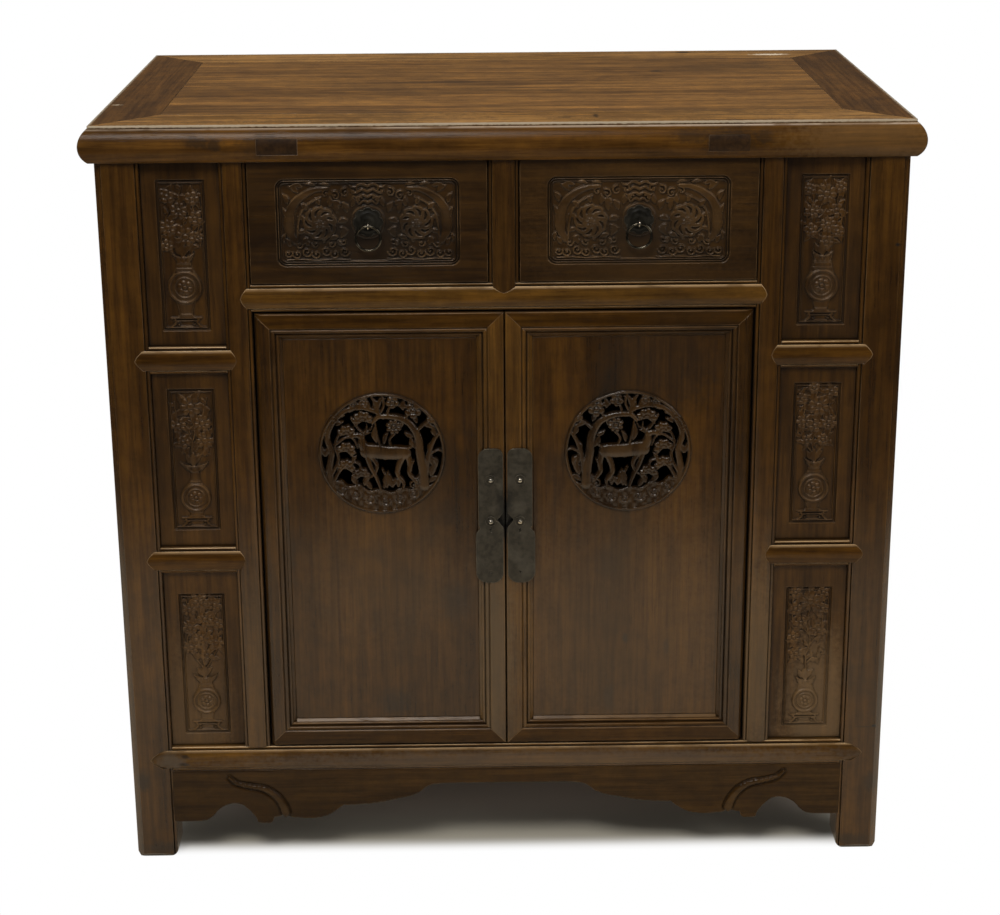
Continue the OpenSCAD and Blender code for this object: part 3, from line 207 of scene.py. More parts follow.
def aged_wood(name, along, deep, warm, worn_and_highlight, upright=None, figure=0.1, stains=0.3, wear=0.7, shade_and_grime_strength=0.8,
              lit=0.6, bands=0.4, rough=0.22, polish=0.32, carved=0.0, marks=()):
    """Old varnished hardwood: deep and warm are its dark and light grain, worn_and_highlight is the pale
    colour of bare wood on the arrises and of painted highlight.

    upright holds the dark and light grain of the faces that don't look up, darker than the faces that look
    up, whose paleness is partly painted sheen; the edge between them is pale with wear and painted highlight.
    lit is how strong the painted highlight is on rounded faces that tilt up.
    """
    material = bpy.data.materials.new(name)
    material.use_nodes = True
    t = material.node_tree
    t.nodes.clear()
    place = put(t, "TexCoord").outputs["Object"]
    flat = put(t, "NewGeometry").outputs["Normal"]

    # The patterns in the wood: broad streaks, fine fibre, growth rings, pores, dark bands and mottling.
    broad = spread(t, clouds(t, drawn_out(t, along, 11, 1.6, 3.1), 6, 0.68, 0.5), 0.28, 0.74)
    fine = clouds(t, drawn_out(t, along, 210, 7, 0.7), 5, 0.62, 0.2)
    rings_at = clouds(t, drawn_out(t, along, 8.5, 0.9, 5.3), 2, 0.4, 0.5)
    rings = put(t, "Math", {0: sum_of(t, "MULTIPLY", rings_at, 95.0)}, operation="SINE").outputs[0]
    rings = sum_of(t, "ADD", sum_of(t, "MULTIPLY", rings, 0.5), 0.5)
    pores = spread(t, clouds(t, drawn_out(t, along, 780, 36, 2.3), 2, 0.5), 0.60, 0.74)
    banded = clouds(t, drawn_out(t, along, 75, 3.4, 6.6), 4, 0.62, 0.3)
    wires = {"Vector": place, "Scale": 34.0, "Detail": 6.0, "Roughness": 0.72}
    mottled = put(t, "TexNoise", wires).outputs["Fac"]

    # The colour of the grain, and old stains in it.
    colour = tint(t, broad, deep, warm)
    rise = put(t, "SeparateXYZ", {0: flat}).outputs["Z"]
    # Faces that don't look up take the upright grain, darker than the faces that look up, whose paleness is
    # partly painted sheen.
    if upright:
        colour = tint(t, spread(t, rise, 0.80, 0.985), tint(t, broad, *upright), colour)
    colour = tint(t, spread(t, banded, 0.50, 0.64, 0.0, bands), colour, (0.50, 0.44, 0.40, 1), "MULTIPLY")
    colour = tint(t, spread(t, banded, 0.48, 0.34, 0.0, bands), colour, (1.55, 1.50, 1.35, 1), "MULTIPLY")
    colour = tint(t, spread(t, mottled, 0.42, 0.66, 0.0, 0.22), colour, (1.75, 1.62, 1.1, 1), "MULTIPLY")
    colour = tint(t, spread(t, mottled, 0.56, 0.36, 0.0, 0.26), colour, (0.52, 0.46, 0.55, 1), "MULTIPLY")
    colour = tint(t, spread(t, fine, 0.38, 0.66, 0.0, 0.70), colour, (0.45, 0.42, 0.40, 1), "MULTIPLY")
    colour = tint(t, sum_of(t, "MULTIPLY", rings, figure), colour, (1.9, 1.8, 1.6, 1), "MULTIPLY")
    colour = tint(t, sum_of(t, "MULTIPLY", pores, 0.5), colour, (0.3, 0.25, 0.2, 1), "MULTIPLY")
    blots = clouds(t, drawn_out(t, along, 6, 2.6, 8.8), 4, 0.6, 0.8)
    colour = tint(t, spread(t, blots, 0.54, 0.72, 0.0, stains), colour, (0.012, 0.008, 0.005, 1))

    # Pale colour: wear where the varnish is rubbed through on arrises, painted highlight on rounded faces
    # that tilt up, and both on the high parts of carving.
    near = put(t, "AmbientOcclusion", {"Distance": 0.014}, samples=5).outputs["AO"]
    tight = put(t, "AmbientOcclusion", {"Distance": 0.0035}, samples=5).outputs["AO"]
    soft_edge = put(t, "Bevel", {"Radius": 0.0014}, samples=5).outputs[0]
    turned = put(t, "VectorMath", {0: soft_edge, 1: flat}, operation="DOT_PRODUCT").outputs["Value"]
    pale_share = sum_of(t, "MULTIPLY", spread(t, turned, 0.995, 0.86), spread(t, near, 0.72, 0.98))
    patchy = spread(t, clouds(t, drawn_out(t, along, 42, 16, 4.4), 3, 0.6), 0.34, 0.62)
    pale_share = sum_of(t, "MULTIPLY", pale_share, sum_of(t, "MULTIPLY", patchy, wear))
    soft_rise = put(t, "SeparateXYZ", {0: soft_edge}).outputs["Z"]
    # Painted highlight: rounded faces that tilt up are painted pale, less so in corners.
    painted_highlight = sum_of(t, "MULTIPLY", spread(t, soft_rise, 0.28, 0.47, 0.0, lit), spread(t, rise, 0.985, 0.93))
    painted_highlight = sum_of(t, "MULTIPLY", painted_highlight, spread(t, near, 0.40, 0.80))
    painted_highlight = sum_of(t, "MULTIPLY", painted_highlight, spread(t, patchy, 0.0, 0.7, 0.45, 1.0))
    pale_share = sum_of(t, "MAXIMUM", pale_share, painted_highlight)
    # The pale colour is held back on faces that look straight up.
    pale_share = sum_of(t, "MULTIPLY", pale_share, spread(t, soft_rise, 0.60, 0.88, 1.0, 0.2))
    # The rounded edge between them is pale: wear and painted highlight.
    if upright:
        arris = sum_of(t, "MULTIPLY", spread(t, rise, 0.66, 0.84), spread(t, rise, 0.998, 0.975))
        arris = sum_of(t, "MULTIPLY", arris, spread(t, patchy, 0.1, 0.6, 0.35, 0.9))
        pale_share = sum_of(t, "MAXIMUM", pale_share, arris)
    # High parts of carving are pale: wear and painted highlight.
    if carved:
        raised = put(t, "Attribute", attribute_name="raised").outputs["Fac"]
        high = spread(t, raised, 0.55, 1.0, 0.0, carved)
        pale_share = sum_of(t, "MAXIMUM", pale_share, sum_of(t, "MULTIPLY", high, patchy))
    colour = tint(t, pale_share, colour, worn_and_highlight)

    # Painted shade and grime in the corners and cuts, where occlusion finds them, then single marks.
    painted_shade_and_grime = sum_of(t, "MULTIPLY", spread(t, near, 0.80, 0.30), shade_and_grime_strength)
    cut_low, cut_high = (0.50, 0.86) if carved else (0.34, 0.74)
    painted_shade_and_grime = sum_of(t, "MAXIMUM", painted_shade_and_grime, sum_of(t, "MULTIPLY", spread(t, tight, cut_high, cut_low), shade_and_grime_strength))
    colour = tint(t, painted_shade_and_grime, colour, (0.008, 0.005, 0.003, 1))
    for at, size, over, share in marks:
        colour = blemish(t, place, colour, at, size, over, share)

    # The varnish: duller where the corners are darkened, with the fibre and pores just showing in its
    # surface.
    gloss = put(t, "Math", {0: fine, 1: 0.14, 2: rough - 0.05}, operation="MULTIPLY_ADD").outputs[0]
    gloss = sum_of(t, "ADD", gloss, sum_of(t, "MULTIPLY", painted_shade_and_grime, 0.3))
    depth = sum_of(t, "ADD", sum_of(t, "MULTIPLY", fine, 0.7), sum_of(t, "MULTIPLY", pores, -0.6))
    relief = put(t, "Bump", {"Strength": 0.28, "Distance": 0.0005, "Height": depth, "Normal": soft_edge})
    wires = {"Base Color": colour, "Roughness": gloss, "Normal": relief.outputs[0],
             "Specular IOR Level": polish}
    shader = put(t, "BsdfPrincipled", wires).outputs[0]
    put(t, "OutputMaterial", {"Surface": shader})
    return material


def dress(names, material):
    """The CAD pieces keep their shape and get their finish."""
    for name in names:
        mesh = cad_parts[name].data
        mesh.materials.clear()
        mesh.materials.append(material)


DEEP = (0.025, 0.0104, 0.0014, 1)
WARM = (0.062, 0.0268, 0.0040, 1)
WORN_AND_HIGHLIGHT = (0.230, 0.135, 0.058, 1)
SOOT = (0.010, 0.008, 0.006, 1)
PALE_PATCH = (0.140, 0.088, 0.036, 1)

# Marks on the wood, here and in the sections below: place, reach each way, colour and how strong it is.
leg_marks = [
    ((0.4937, -0.2985, 0.1888), (0.006, 0.05, 0.0026), SOOT, 1.0),
    ((0.479, -0.2985, 0.1880), (0.016, 0.05, 0.0012), SOOT, 0.6),
    ((0.4926, -0.2985, 0.8513), (0.005, 0.05, 0.0035), SOOT, 0.9),
    ((-0.4900, -0.2985, 0.120), (0.012, 0.06, 0.024), SOOT, 0.6),
    ((0.4920, -0.2985, 0.106), (0.014, 0.06, 0.020), SOOT, 0.5),
    ((-0.4664, -0.2985, 0.018), (0.045, 0.08, 0.012), SOOT, 0.5),
    ((0.4664, -0.2985, 0.018), (0.045, 0.08, 0.012), SOOT, 0.5),
    # Paler patches low on the inner stiles.
    ((0.325, -0.2985, 0.28), (0.06, 0.06, 0.20), PALE_PATCH, 0.20),
    ((-0.325, -0.2985, 0.28), (0.06, 0.06, 0.20), PALE_PATCH, 0.08),
]
upright_wood = aged_wood("upright_wood", "Z", DEEP, WARM, WORN_AND_HIGHLIGHT, figure=0.06, stains=0.5, marks=leg_marks)
dress(["leg_front_left", "leg_front_right", "leg_back_left", "leg_back_right",
       "inner_stile_left", "inner_stile_right"], upright_wood)
# The divider is painted darker than the legs as the shade under the top's overhang.
divider_painted_shade_wood = aged_wood("divider_painted_shade_wood", "Z", (0.016, 0.0070, 0.0012, 1), (0.040, 0.0175, 0.0028, 1), WORN_AND_HIGHLIGHT)
dress(["drawer_divider"], divider_painted_shade_wood)


# Rails: their ends are cut to a blunt point and lap over the uprights, with a tenon behind. They are of
# the same wood, with the grain along them, and the left end of the bottom rail is worn grey.

# The rails' pale top line is wear and painted highlight, strongest on the rails (lit=1.0).
RAIL_WORN_AND_HIGHLIGHT = (0.360, 0.240, 0.125, 1)
rail_wood = aged_wood("rail_wood", "X", DEEP, WARM, RAIL_WORN_AND_HIGHLIGHT, figure=0.06, wear=1.0, lit=1.0, polish=0.13)
dress(["short_rails_left", "short_rails_right", "back_rails"], rail_wood)
worn_end = [
    ((-0.452, -0.2985, 0.1485), (0.026, 0.05, 0.018), (0.050, 0.041, 0.031, 1), 0.55),
    ((-0.4796, -0.2985, 0.1559), (0.014, 0.05, 0.010), SOOT, 0.6),
    ((-0.4326, -0.2985, 0.1553), (0.008, 0.05, 0.004), SOOT, 0.8),
    ((-0.4346, -0.2985, 0.1434), (0.010, 0.05, 0.004), SOOT, 0.8),
    ((0.05, -0.2985, 0.140), (0.60, 0.06, 0.03), (0.076, 0.060, 0.046, 1), 0.4),
]
front_rail_wood = aged_wood("front_rail_wood", "X", (0.034, 0.0152, 0.0026, 1), (0.080, 0.0380, 0.0068, 1),
                            RAIL_WORN_AND_HIGHLIGHT, wear=1.0, lit=1.0, polish=0.13, marks=worn_end)
dress(["drawer_rail", "bottom_rail"], front_rail_wood)
side_rail_wood = aged_wood("side_rail_wood", "Y", DEEP, WARM, WORN_AND_HIGHLIGHT, figure=0.08)
dress(["side_rails_left", "side_rails_right"], side_rail_wood)


# Plain panels: thinner boards of the same wood, two in each side and two in the back. They float in
# grooves in the legs and rails, so that the wood can shrink and swell.

panel_wood = aged_wood("panel_wood", "Z", DEEP, WARM, WORN_AND_HIGHLIGHT, figure=0.12, stains=0.5)
dress(["side_panels_left", "side_panels_right", "back_panels"], panel_wood)


# Carved panels of the side bays: six thin boards held in grooves. Each has a sunk field with a thin
# frame line, in which the carver left a vase of flowers standing, drawn a little differently each time.

MM = 1000  # millimetres in a metre: the carvings are drawn in millimetres
PANEL_STEP = 0.7


def box_mm(node):
    """The low and the high corner of a CAD piece, in millimetres."""
    return [MM * np.array(corner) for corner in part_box(node)]


def facing_front(middle, face, flip=1):
    """Turns a place drawn across, up and back from a face into its place on the cabinet."""
    return lambda u, v, back: ((middle[0] + flip * u) / MM, (face + back) / MM, (middle[2] + v) / MM)


def ruled(low, high, field_low, field_high, step):
    """Grid lines over a board, close together in the carved field and wide apart in its plain margins."""
    fine = np.linspace(field_low, field_high, int(round((field_high - field_low) / step)) + 1)
    return np.concatenate([np.linspace(low, field_low, 4)[:-1], fine, np.linspace(field_high, high, 4)[1:]])


def new_work(u, v):
    """A board to carve, u across and v up: how high its face is, and how far inside a form each place is."""
    size = (len(v), len(u))
    return {"u": u, "v": v, "h": np.zeros(size), "inside": np.full(size, -9.0), "raised": np.zeros(size)}


def reach_of(work, u_low, u_high, v_low, v_high):
    """The part of the board's grid between these lines, and its places."""
    a, b = np.searchsorted(work["u"], (u_low, u_high))
    c, d = np.searchsorted(work["v"], (v_low, v_high))
    u, v = np.meshgrid(work["u"][a:b], work["v"][c:d])
    return (slice(c, d), slice(a, b)), u, v


def leave_standing(work, part, inside, height):
    """The wood inside a form stays up to its height; the rest stays as it is."""
    work["inside"][part] = np.maximum(work["inside"][part], inside)
    higher = (inside > 0) & (height > work["h"][part])
    work["h"][part] = np.where(higher, height, work["h"][part])
    work["raised"][part] = np.where(higher, np.clip(height / work["full"], 0, 1), work["raised"][part])


def flowing(points, steps=7):
    """A smooth line through the points."""
    p = np.array(points, float)
    p = np.vstack([2 * p[0] - p[1], p, 2 * p[-1] - p[-2]])
    s = np.linspace(0, 1, steps, endpoint=False)[:, None]
    line = []
    for a, b, c, d in zip(p[:-3], p[1:-2], p[2:-1], p[3:]):
        square, cube = 2 * a - 5 * b + 4 * c - d, 3 * b - a - 3 * c + d
        line.append(0.5 * (2 * b + (c - a) * s + square * s**2 + cube * s**3))
    return np.vstack(line + [p[-2:-1]])


def stem(work, points, wide, narrow, height, groove=0.0, smooth=True):
    """A rounded stem along the points, from one width to another, with a groove down its middle if asked."""
    line = flowing(points) if smooth else np.array(points, float)
    half = np.linspace(wide, narrow, len(line)) / 2
    for p, q, r, s in zip(line[:-1], line[1:], half[:-1], half[1:]):
        m = max(r, s) + 2.5
        low, high = np.minimum(p, q) - m, np.maximum(p, q) + m
        part, u, v = reach_of(work, low[0], high[0], low[1], high[1])
        d = q - p
        along = np.clip(((u - p[0]) * d[0] + (v - p[1]) * d[1]) / max(d @ d, 1e-9), 0, 1)
        away = np.hypot(u - p[0] - along * d[0], v - p[1] - along * d[1])
        here = r + (s - r) * along
        top = height * (0.55 + 0.45 * np.sqrt(np.clip(1 - (away / here) ** 2, 0, 1)))
        leave_standing(work, part, here - away, top - groove * np.exp(-((away / 0.6) ** 2)))


def leaf(work, at, heading, length, width, height):
    """A pointed leaf from its stalk at a place, with a middle vein and side veins cut in."""
    c, s = math.cos(math.radians(heading)), math.sin(math.radians(heading))
    part, u, v = reach_of(work, at[0] - length, at[0] + length, at[1] - length, at[1] + length)
    x = (u - at[0]) * c + (v - at[1]) * s
    y = (v - at[1]) * c - (u - at[0]) * s
    y = y - 0.10 * length * np.sin(np.pi * np.clip(x / length, 0, 1))
    share = np.clip(x / length, 0, 1)
    half = width / 2 * np.sin(np.pi * share**0.8) ** 0.9 + 1e-6
    inside = np.where((x > 0) & (x < length), half - np.abs(y), -9.0)
    dome = np.sqrt(np.clip(1 - (y / half) ** 2, 0, 1))
    middle_vein = 0.45 * np.exp(-((y / 0.55) ** 2))
    side_veins = 0.16 * (1 + np.cos(2.4 * (x - 1.3 * np.abs(y)))) * (np.abs(y) > 0.6)
    leave_standing(work, part, inside, height * (0.55 + 0.45 * dome) - (middle_vein + side_veins))


def blossom(work, at, r, height, petals=5, turned=0.3):
    """An open flower: cupped petals parted by cuts, and a knob in a ring in the middle."""
    part, u, v = reach_of(work, at[0] - r - 2, at[0] + r + 2, at[1] - r - 2, at[1] + r + 2)
    x, y = u - at[0], v - at[1]
    d, a = np.hypot(x, y), np.arctan2(y, x) + turned
    lobe = np.abs(np.cos(a * petals / 2))
    edge = r * (0.74 + 0.26 * lobe**0.7)
    cup = 0.62 + 0.38 * np.sin(np.pi * np.clip(d / edge, 0, 1) ** 1.6)
    parting = 1.1 * np.exp(-((d * lobe * 2 / petals / 0.7) ** 2)) * (d > 0.3 * r)
    knob = height * (0.75 + 0.35 * np.sqrt(np.clip(1 - (d / (0.27 * r)) ** 2, 0, 1)))
    ring = 0.7 * np.exp(-(((d - 0.32 * r) / 0.5) ** 2))
    top = np.where(d < 0.27 * r, knob, height * cup - parting - ring)
    leave_standing(work, part, edge - d, top)


def curl(work, at, r, start, turns, wide, height):
    """A scroll that winds in to a knob; turns is negative where it winds the other way."""
    s = np.linspace(0, 1, int(16 * abs(turns)) + 5)
    a = math.radians(start) + 2 * math.pi * turns * s
    line = np.column_stack([at[0] + r * (1 - 0.80 * s) * np.cos(a), at[1] + r * (1 - 0.80 * s) * np.sin(a)])
    stem(work, line, wide, wide * 0.55, height, smooth=False)
    stem(work, [at, (at[0] + 0.05, at[1])], wide, wide, height, smooth=False)


def turned_form(work, at, profile, height, rings=()):
    """A turned body in low relief: profile is its radius at heights above its foot, rings its fillets."""
    line = flowing(profile)
    top, wide = line[:, 0].max(), line[:, 1].max()
    part, u, v = reach_of(work, at[0] - wide - 2, at[0] + wide + 2, at[1] - 1, at[1] + top + 1)
    r = np.interp(v - at[1], line[:, 0], line[:, 1], left=0.01, right=0.01)
    x = np.abs(u - at[0])
    body = height * (0.5 + 0.5 * np.sqrt(np.clip(1 - (x / r) ** 2, 0, 1)))
    for z in rings:
        away = np.abs(v - at[1] - z)
        body = body + 0.5 * np.exp(-((away / 0.8) ** 2)) - 0.35 * np.exp(-(((away - 2) / 0.5) ** 2))
    leave_standing(work, part, np.minimum(r - x, np.minimum(v - at[1], at[1] + top - v)), body)


def ring_line(work, at, r, width, height):
    """A rounded ring round a place."""
    part, u, v = reach_of(work, at[0] - r - width, at[0] + r + width, at[1] - r - width, at[1] + r + width)
    away = np.abs(np.hypot(u - at[0], v - at[1]) - r)
    rounding = np.sqrt(np.clip(1 - (2 * away / width) ** 2, 0, 1))
    leave_standing(work, part, width / 2 - away, height * (0.6 + 0.4 * rounding))


def low_stand(work, foot, w, height):
    """The little table a vase stands on, with feet that curl outwards."""
    stem(work, [(-w / 2, foot + 13), (w / 2, foot + 13)], 2.6, 2.6, height, smooth=False)
    stem(work, [(-w / 2 + 3, foot + 9.5), (w / 2 - 3, foot + 9.5)], 1.6, 1.6, height * 0.8, smooth=False)
    for s in (-1, 1):
        leg = [(s * (w / 2 - 4), foot + 12), (s * (w / 2 - 5.5), foot + 7),
               (s * (w / 2 - 2), foot + 2.5), (s * w / 2, foot + 1.5)]
        stem(work, leg, 3.0, 2.2, height)
        curl(work, (s * (w / 2 - 9), foot + 5), 3.6, 90 - s * 90, s * 0.9, 1.5, height * 0.8)
    stem(work, [(-w / 2 + 11, foot + 2), (w / 2 - 11, foot + 2)], 1.8, 1.8, height * 0.8, smooth=False)


def sprig(work, points, height, leaves=6, size=9.0, thick=2.2):
    """A twig along the points with leaves on both sides in turn."""
    line = flowing(points)
    steps = np.hypot(*np.diff(line, axis=0).T)
    far = np.concatenate([[0], np.cumsum(steps)])
    for k in range(leaves):
        at = far[-1] * (k + 0.8) / (leaves + 0.3)
        i = min(int(np.searchsorted(far, at)), len(line) - 1)
        d = line[i] - line[i - 1]
        side = 1 if k % 2 else -1
        heading = math.degrees(math.atan2(d[1], d[0])) + side * 52
        leaf(work, line[i], heading, size * (1 - 0.35 * k / leaves), size * 0.46, height * 0.85)
    stem(work, points, thick, thick * 0.55, height)


def as_mesh(name, places, faces, raised=None, sharp=38):
    """A smooth piece with edges where it turns by more than sharp degrees, in the scene."""
    mesh = bpy.data.meshes.new(name)
    mesh.from_pydata([tuple(p) for p in places], [], faces)
    if raised is not None:
        layer = mesh.attributes.new("raised", "FLOAT", "POINT")
        layer.data.foreach_set("value", np.asarray(raised, np.float32))
    mesh.polygons.foreach_set("use_smooth", [True] * len(mesh.polygons))
    mesh.set_sharp_from_angle(angle=math.radians(sharp))
    piece = bpy.data.objects.new(name, mesh)
    bpy.context.scene.collection.objects.link(piece)
    return piece


def carved_board(name, work, place, rings):
    """A closed board: the carved face, then rings (how far out, how far back) round it, and a flat back."""
    u, v, h = work["u"], work["v"], work["h"]
    grid = np.arange(len(v) * len(u)).reshape(len(v), len(u))
    uu, vv = np.meshgrid(u, v)
    places = [np.column_stack([uu.ravel(), vv.ravel(), -h.ravel()])]
    faces = np.stack([grid[:-1, :-1], grid[:-1, 1:], grid[1:, 1:], grid[1:, :-1]], -1).reshape(-1, 4).tolist()
    rim = np.concatenate([grid[0, :-1], grid[:-1, -1], grid[-1, :0:-1], grid[:0:-1, 0]])
    edge = places[0][rim, :2]
    out_u = (edge[:, 0] == u[-1]) * 1.0 - (edge[:, 0] == u[0])
    out_v = (edge[:, 1] == v[-1]) * 1.0 - (edge[:, 1] == v[0])
    out = np.column_stack([out_u, out_v])
    last, count = rim, grid.size
    for outset, back in rings:
        places.append(np.column_stack([edge + out * outset, np.full(len(rim), back)]))
        new = np.arange(count, count + len(rim))
        count += len(rim)
        faces += np.stack([last, new, np.roll(new, -1), np.roll(last, -1)], -1).tolist()
        last = new
    faces.append(last[::-1].tolist())
    raised = np.zeros(count)
    raised[: grid.size] = work["raised"].ravel()
    return as_mesh(name, [place(*p) for p in np.vstack(places)], faces, raised)


def sunk_field(work, w, h, depth, corner=0.0, slope=1.3, middle=0.0):
    """Sets the face outside the field at depth above its ground, with a sloping edge."""
    uu, vv = np.meshgrid(work["u"], work["v"] - middle)
    a, b = np.abs(uu) - w / 2 + corner, np.abs(vv) - h / 2 + corner
    off = np.hypot(np.maximum(a, 0), np.maximum(b, 0)) + np.minimum(np.maximum(a, b), 0) - corner
    s = np.clip((off + slope) / slope, 0, 1)
    work["h"] = depth * s * s * (3 - 2 * s)
    work["full"] = depth
    work["field"] = off


def frame_line(work, inset, width, height):
    """A fine rounded line that runs inside the field's edge, the inset away from it."""
    away = np.abs(work["field"] + inset)
    everywhere = (slice(None), slice(None))
    rounding = np.sqrt(np.clip(1 - (2 * away / width) ** 2, 0, 1))
    leave_standing(work, everywhere, width / 2 - away, height * rounding)


def dish_mouth(work, at, throat, half_wide, tall, height):
    """The wide fluted mouth of a vase, whose rolled lip turns up at both ends."""
    part, u, v = reach_of(work, at[0] - half_wide - 2, at[0] + half_wide + 2, at[1] - 4, at[1] + tall + 5)
    x = u - at[0]
    y = v - at[1] + 2.5 - 6.0 * (x / half_wide) ** 2
    share = np.clip(y / tall, 0, 1)
    half = throat + (half_wide - throat) * share**0.6
    flutes = 0.55 * np.cos(x / np.maximum(half, 1) * 11) * (np.abs(x) < half - 1)
    lip = 0.8 * np.exp(-(((y - tall + 1.2) / 0.9) ** 2))
    inside = np.minimum(half - np.abs(x), np.minimum(y, tall - y))
    leave_standing(work, part, inside, height * 0.8 + flutes + lip)


def under_leaves(work, at, r, half_wide, height):
    """Five leaves that look out from under a flower, none of them past the frame line."""
    for k in range(5):
        heading = 72 * k + 31 * at[0] + 17
        out = math.cos(math.radians(heading))
        room = (half_wide - at[0] * math.copysign(1, out)) / max(abs(out), 0.2)
        leaf(work, at, heading, min(1.9 * r, room), 0.72 * r, height)


def carve_bouquet(work, drawn, foot_line, reach, half_wide):
    """The flowers of a panel on their twigs, with leaves looking out from under them."""
    leaf_high, twig_high, flower_high, large_r = 1.9, 2.2, 2.8, 9.8
    flowers = [((x, foot_line + y * reach), r) for (x, y), r in drawn["flowers"]]
    for at, r in flowers:
        under_leaves(work, at, r, half_wide, leaf_high)
    for twig in drawn["twigs"]:
        sprig(work, [(x, foot_line + y * reach) for x, y in twig], twig_high, leaves=6, size=12, thick=2.6)
    for at, r in flowers:
        blossom(work, at, r, flower_high, petals=8 if r > large_r else 5, turned=0.1 * at[0])


def carve_vase(work, drawn, foot_line, reach):
    """The vase on its little table: a round belly with a ring and a flower on it, a neck and a wide mouth."""
    stand_foot, stand_wide, vase_foot = 4, 38, 17
    low_stand(work, foot_line + stand_foot, stand_wide, 2.5)
    (belly_z, belly_r), (neck, throat), mouth = drawn["belly"], drawn["neck"], drawn["mouth"]
    middle, foot = foot_line + belly_z * reach, foot_line + vase_foot
    shoulder = middle + belly_r * 0.92
    outline = [(0, 11), (2.5, 10.5), (4.5, 8)]
    turns = np.linspace(0.6, 2.3, 8)
    outline += [(middle - foot - belly_r * math.cos(a), belly_r * math.sin(a)) for a in turns]
    outline += [(middle - foot + belly_r * 1.12, throat + 2), (shoulder - foot + neck, throat)]
    turned_form(work, (0, foot), outline, 2.6, (4, shoulder - foot + 4, shoulder - foot + neck - 3))
    lip = shoulder + neck + 6
    for side in (-1, 1):
        leaf(work, (0, lip + 1), 90 + side * 38, 17, 8, 2.3)
    leaf(work, (0, lip - 2), 90, 19, 10, 3.0)
    dish_mouth(work, (0, shoulder + neck - 1), throat, mouth, 8.5, 3.1)
    ring_line(work, (0, middle), belly_r - 2.0, 3.6, 4.3)
    ring_line(work, (0, middle), belly_r * 0.60, 2.0, 3.8)
    blossom(work, (0, middle), belly_r * 0.46, 4.2, petals=6)


# For each panel, in millimetres from the middle line and the field's lower edge: how high the middle of the
# belly is and its radius, the neck's length and radius, half the mouth's width, then the open flowers (place
# and radius) and the twigs that carry them.
bouquets = {
    "left_upper": {
        "belly": (57, 21.5), "neck": (15, 8.5), "mouth": 14,
        "flowers": [((4, 122), 13), ((-17, 134), 11), ((17, 146), 9.5), ((-3, 156), 11),
                    ((14, 171), 9.5), ((-17, 174), 9.5), ((20, 122), 6.5), ((-19, 112), 8)],
        "twigs": [[(0, 100), (-3, 120), (3, 145), (-2, 170), (2, 188)],
                  [(2, 100), (14, 116), (21, 136), (15, 160), (21, 182)],
                  [(-2, 100), (-14, 116), (-21, 140), (-14, 160), (-20, 184)]],
    },
    "left_middle": {
        "belly": (42, 19.5), "neck": (21, 5.5), "mouth": 19,
        "flowers": [((-1, 158), 14), ((-18, 134), 10.5), ((13, 137), 11.5), ((15, 115), 12), ((-13, 113), 9)],
        "twigs": [[(0, 88), (-2, 108), (3, 128), (-3, 150), (-4, 168)],
                  [(2, 88), (14, 104), (20, 124), (14, 146), (20, 168)],
                  [(-2, 88), (-13, 104), (-21, 122), (-20, 146), (-22, 164)]],
    },
    "left_lower": {
        "belly": (44, 18.5), "neck": (12, 8), "mouth": 17,
        "flowers": [((-1, 177), 10.5), ((-17, 166), 10), ((17, 172), 10), ((3, 153), 11), ((-17, 142), 10.5),
                    ((19, 147), 9), ((-3, 128), 11), ((16, 122), 11), ((-17, 116), 10), ((3, 105), 9)],
        "twigs": [[(0, 88), (-3, 110), (4, 132), (-2, 158), (2, 186)],
                  [(2, 88), (12, 104), (21, 124), (16, 150), (21, 182)],
                  [(-2, 88), (-13, 104), (-22, 124), (-15, 150), (-21, 182)]],
    },
    "right_upper": {
        "belly": (52, 21), "neck": (15, 10.5), "mouth": 13,
        "flowers": [((2, 170), 13), ((-15, 148), 10), ((15, 149), 9.5), ((5, 131), 10.5), ((-16, 124), 9),
                    ((18, 122), 8.5), ((-19, 176), 8), ((20, 179), 8), ((4, 108), 9.5)],
        "twigs": [[(0, 96), (10, 106), (-8, 120), (10, 134), (-6, 150), (3, 168), (0, 186)],
                  [(4, 108), (18, 120), (22, 140), (16, 160), (22, 184)],
                  [(-6, 112), (-19, 122), (-21, 144), (-14, 162), (-21, 186)]],
    },
    "right_middle": {
        "belly": (46, 20), "neck": (13, 7.5), "mouth": 14,
        "flowers": [((3, 151), 13.5), ((-16, 131), 10), ((17, 130), 10), ((-1, 126), 9.5), ((-19, 160), 8.5),
                    ((19, 169), 9), ((10, 108), 8.5), ((-11, 107), 8), ((-4, 174), 8)],
        "twigs": [[(0, 88), (-4, 106), (3, 128), (-3, 150), (2, 176)],
                  [(2, 90), (13, 106), (20, 126), (16, 150), (21, 174)],
                  [(-2, 90), (-13, 104), (-20, 126), (-15, 148), (-21, 172)]],
    },
    "right_lower": {
        "belly": (35, 17.5), "neck": (9, 8.5), "mouth": 14,
        "flowers": [((2, 168), 14), ((-17, 158), 9.5), ((19, 158), 9), ((19, 180), 8), ((-18, 180), 8),
                    ((15, 129), 10), ((-18, 120), 9), ((-14, 98), 10), ((-9, 140), 8.5)],
        "twigs": [[(0, 74), (-1, 96), (4, 116), (-2, 138), (2, 160), (0, 186)],
                  [(1, 92), (-8, 102), (-16, 104), (-22, 116)],
                  [(2, 108), (10, 118), (20, 126), (19, 142), (22, 172)],
                  [(2, 124), (-8, 134), (-20, 140), (-21, 172)],
                  [(0, 86), (8, 92), (16, 92), (21, 102)]],
    },
}

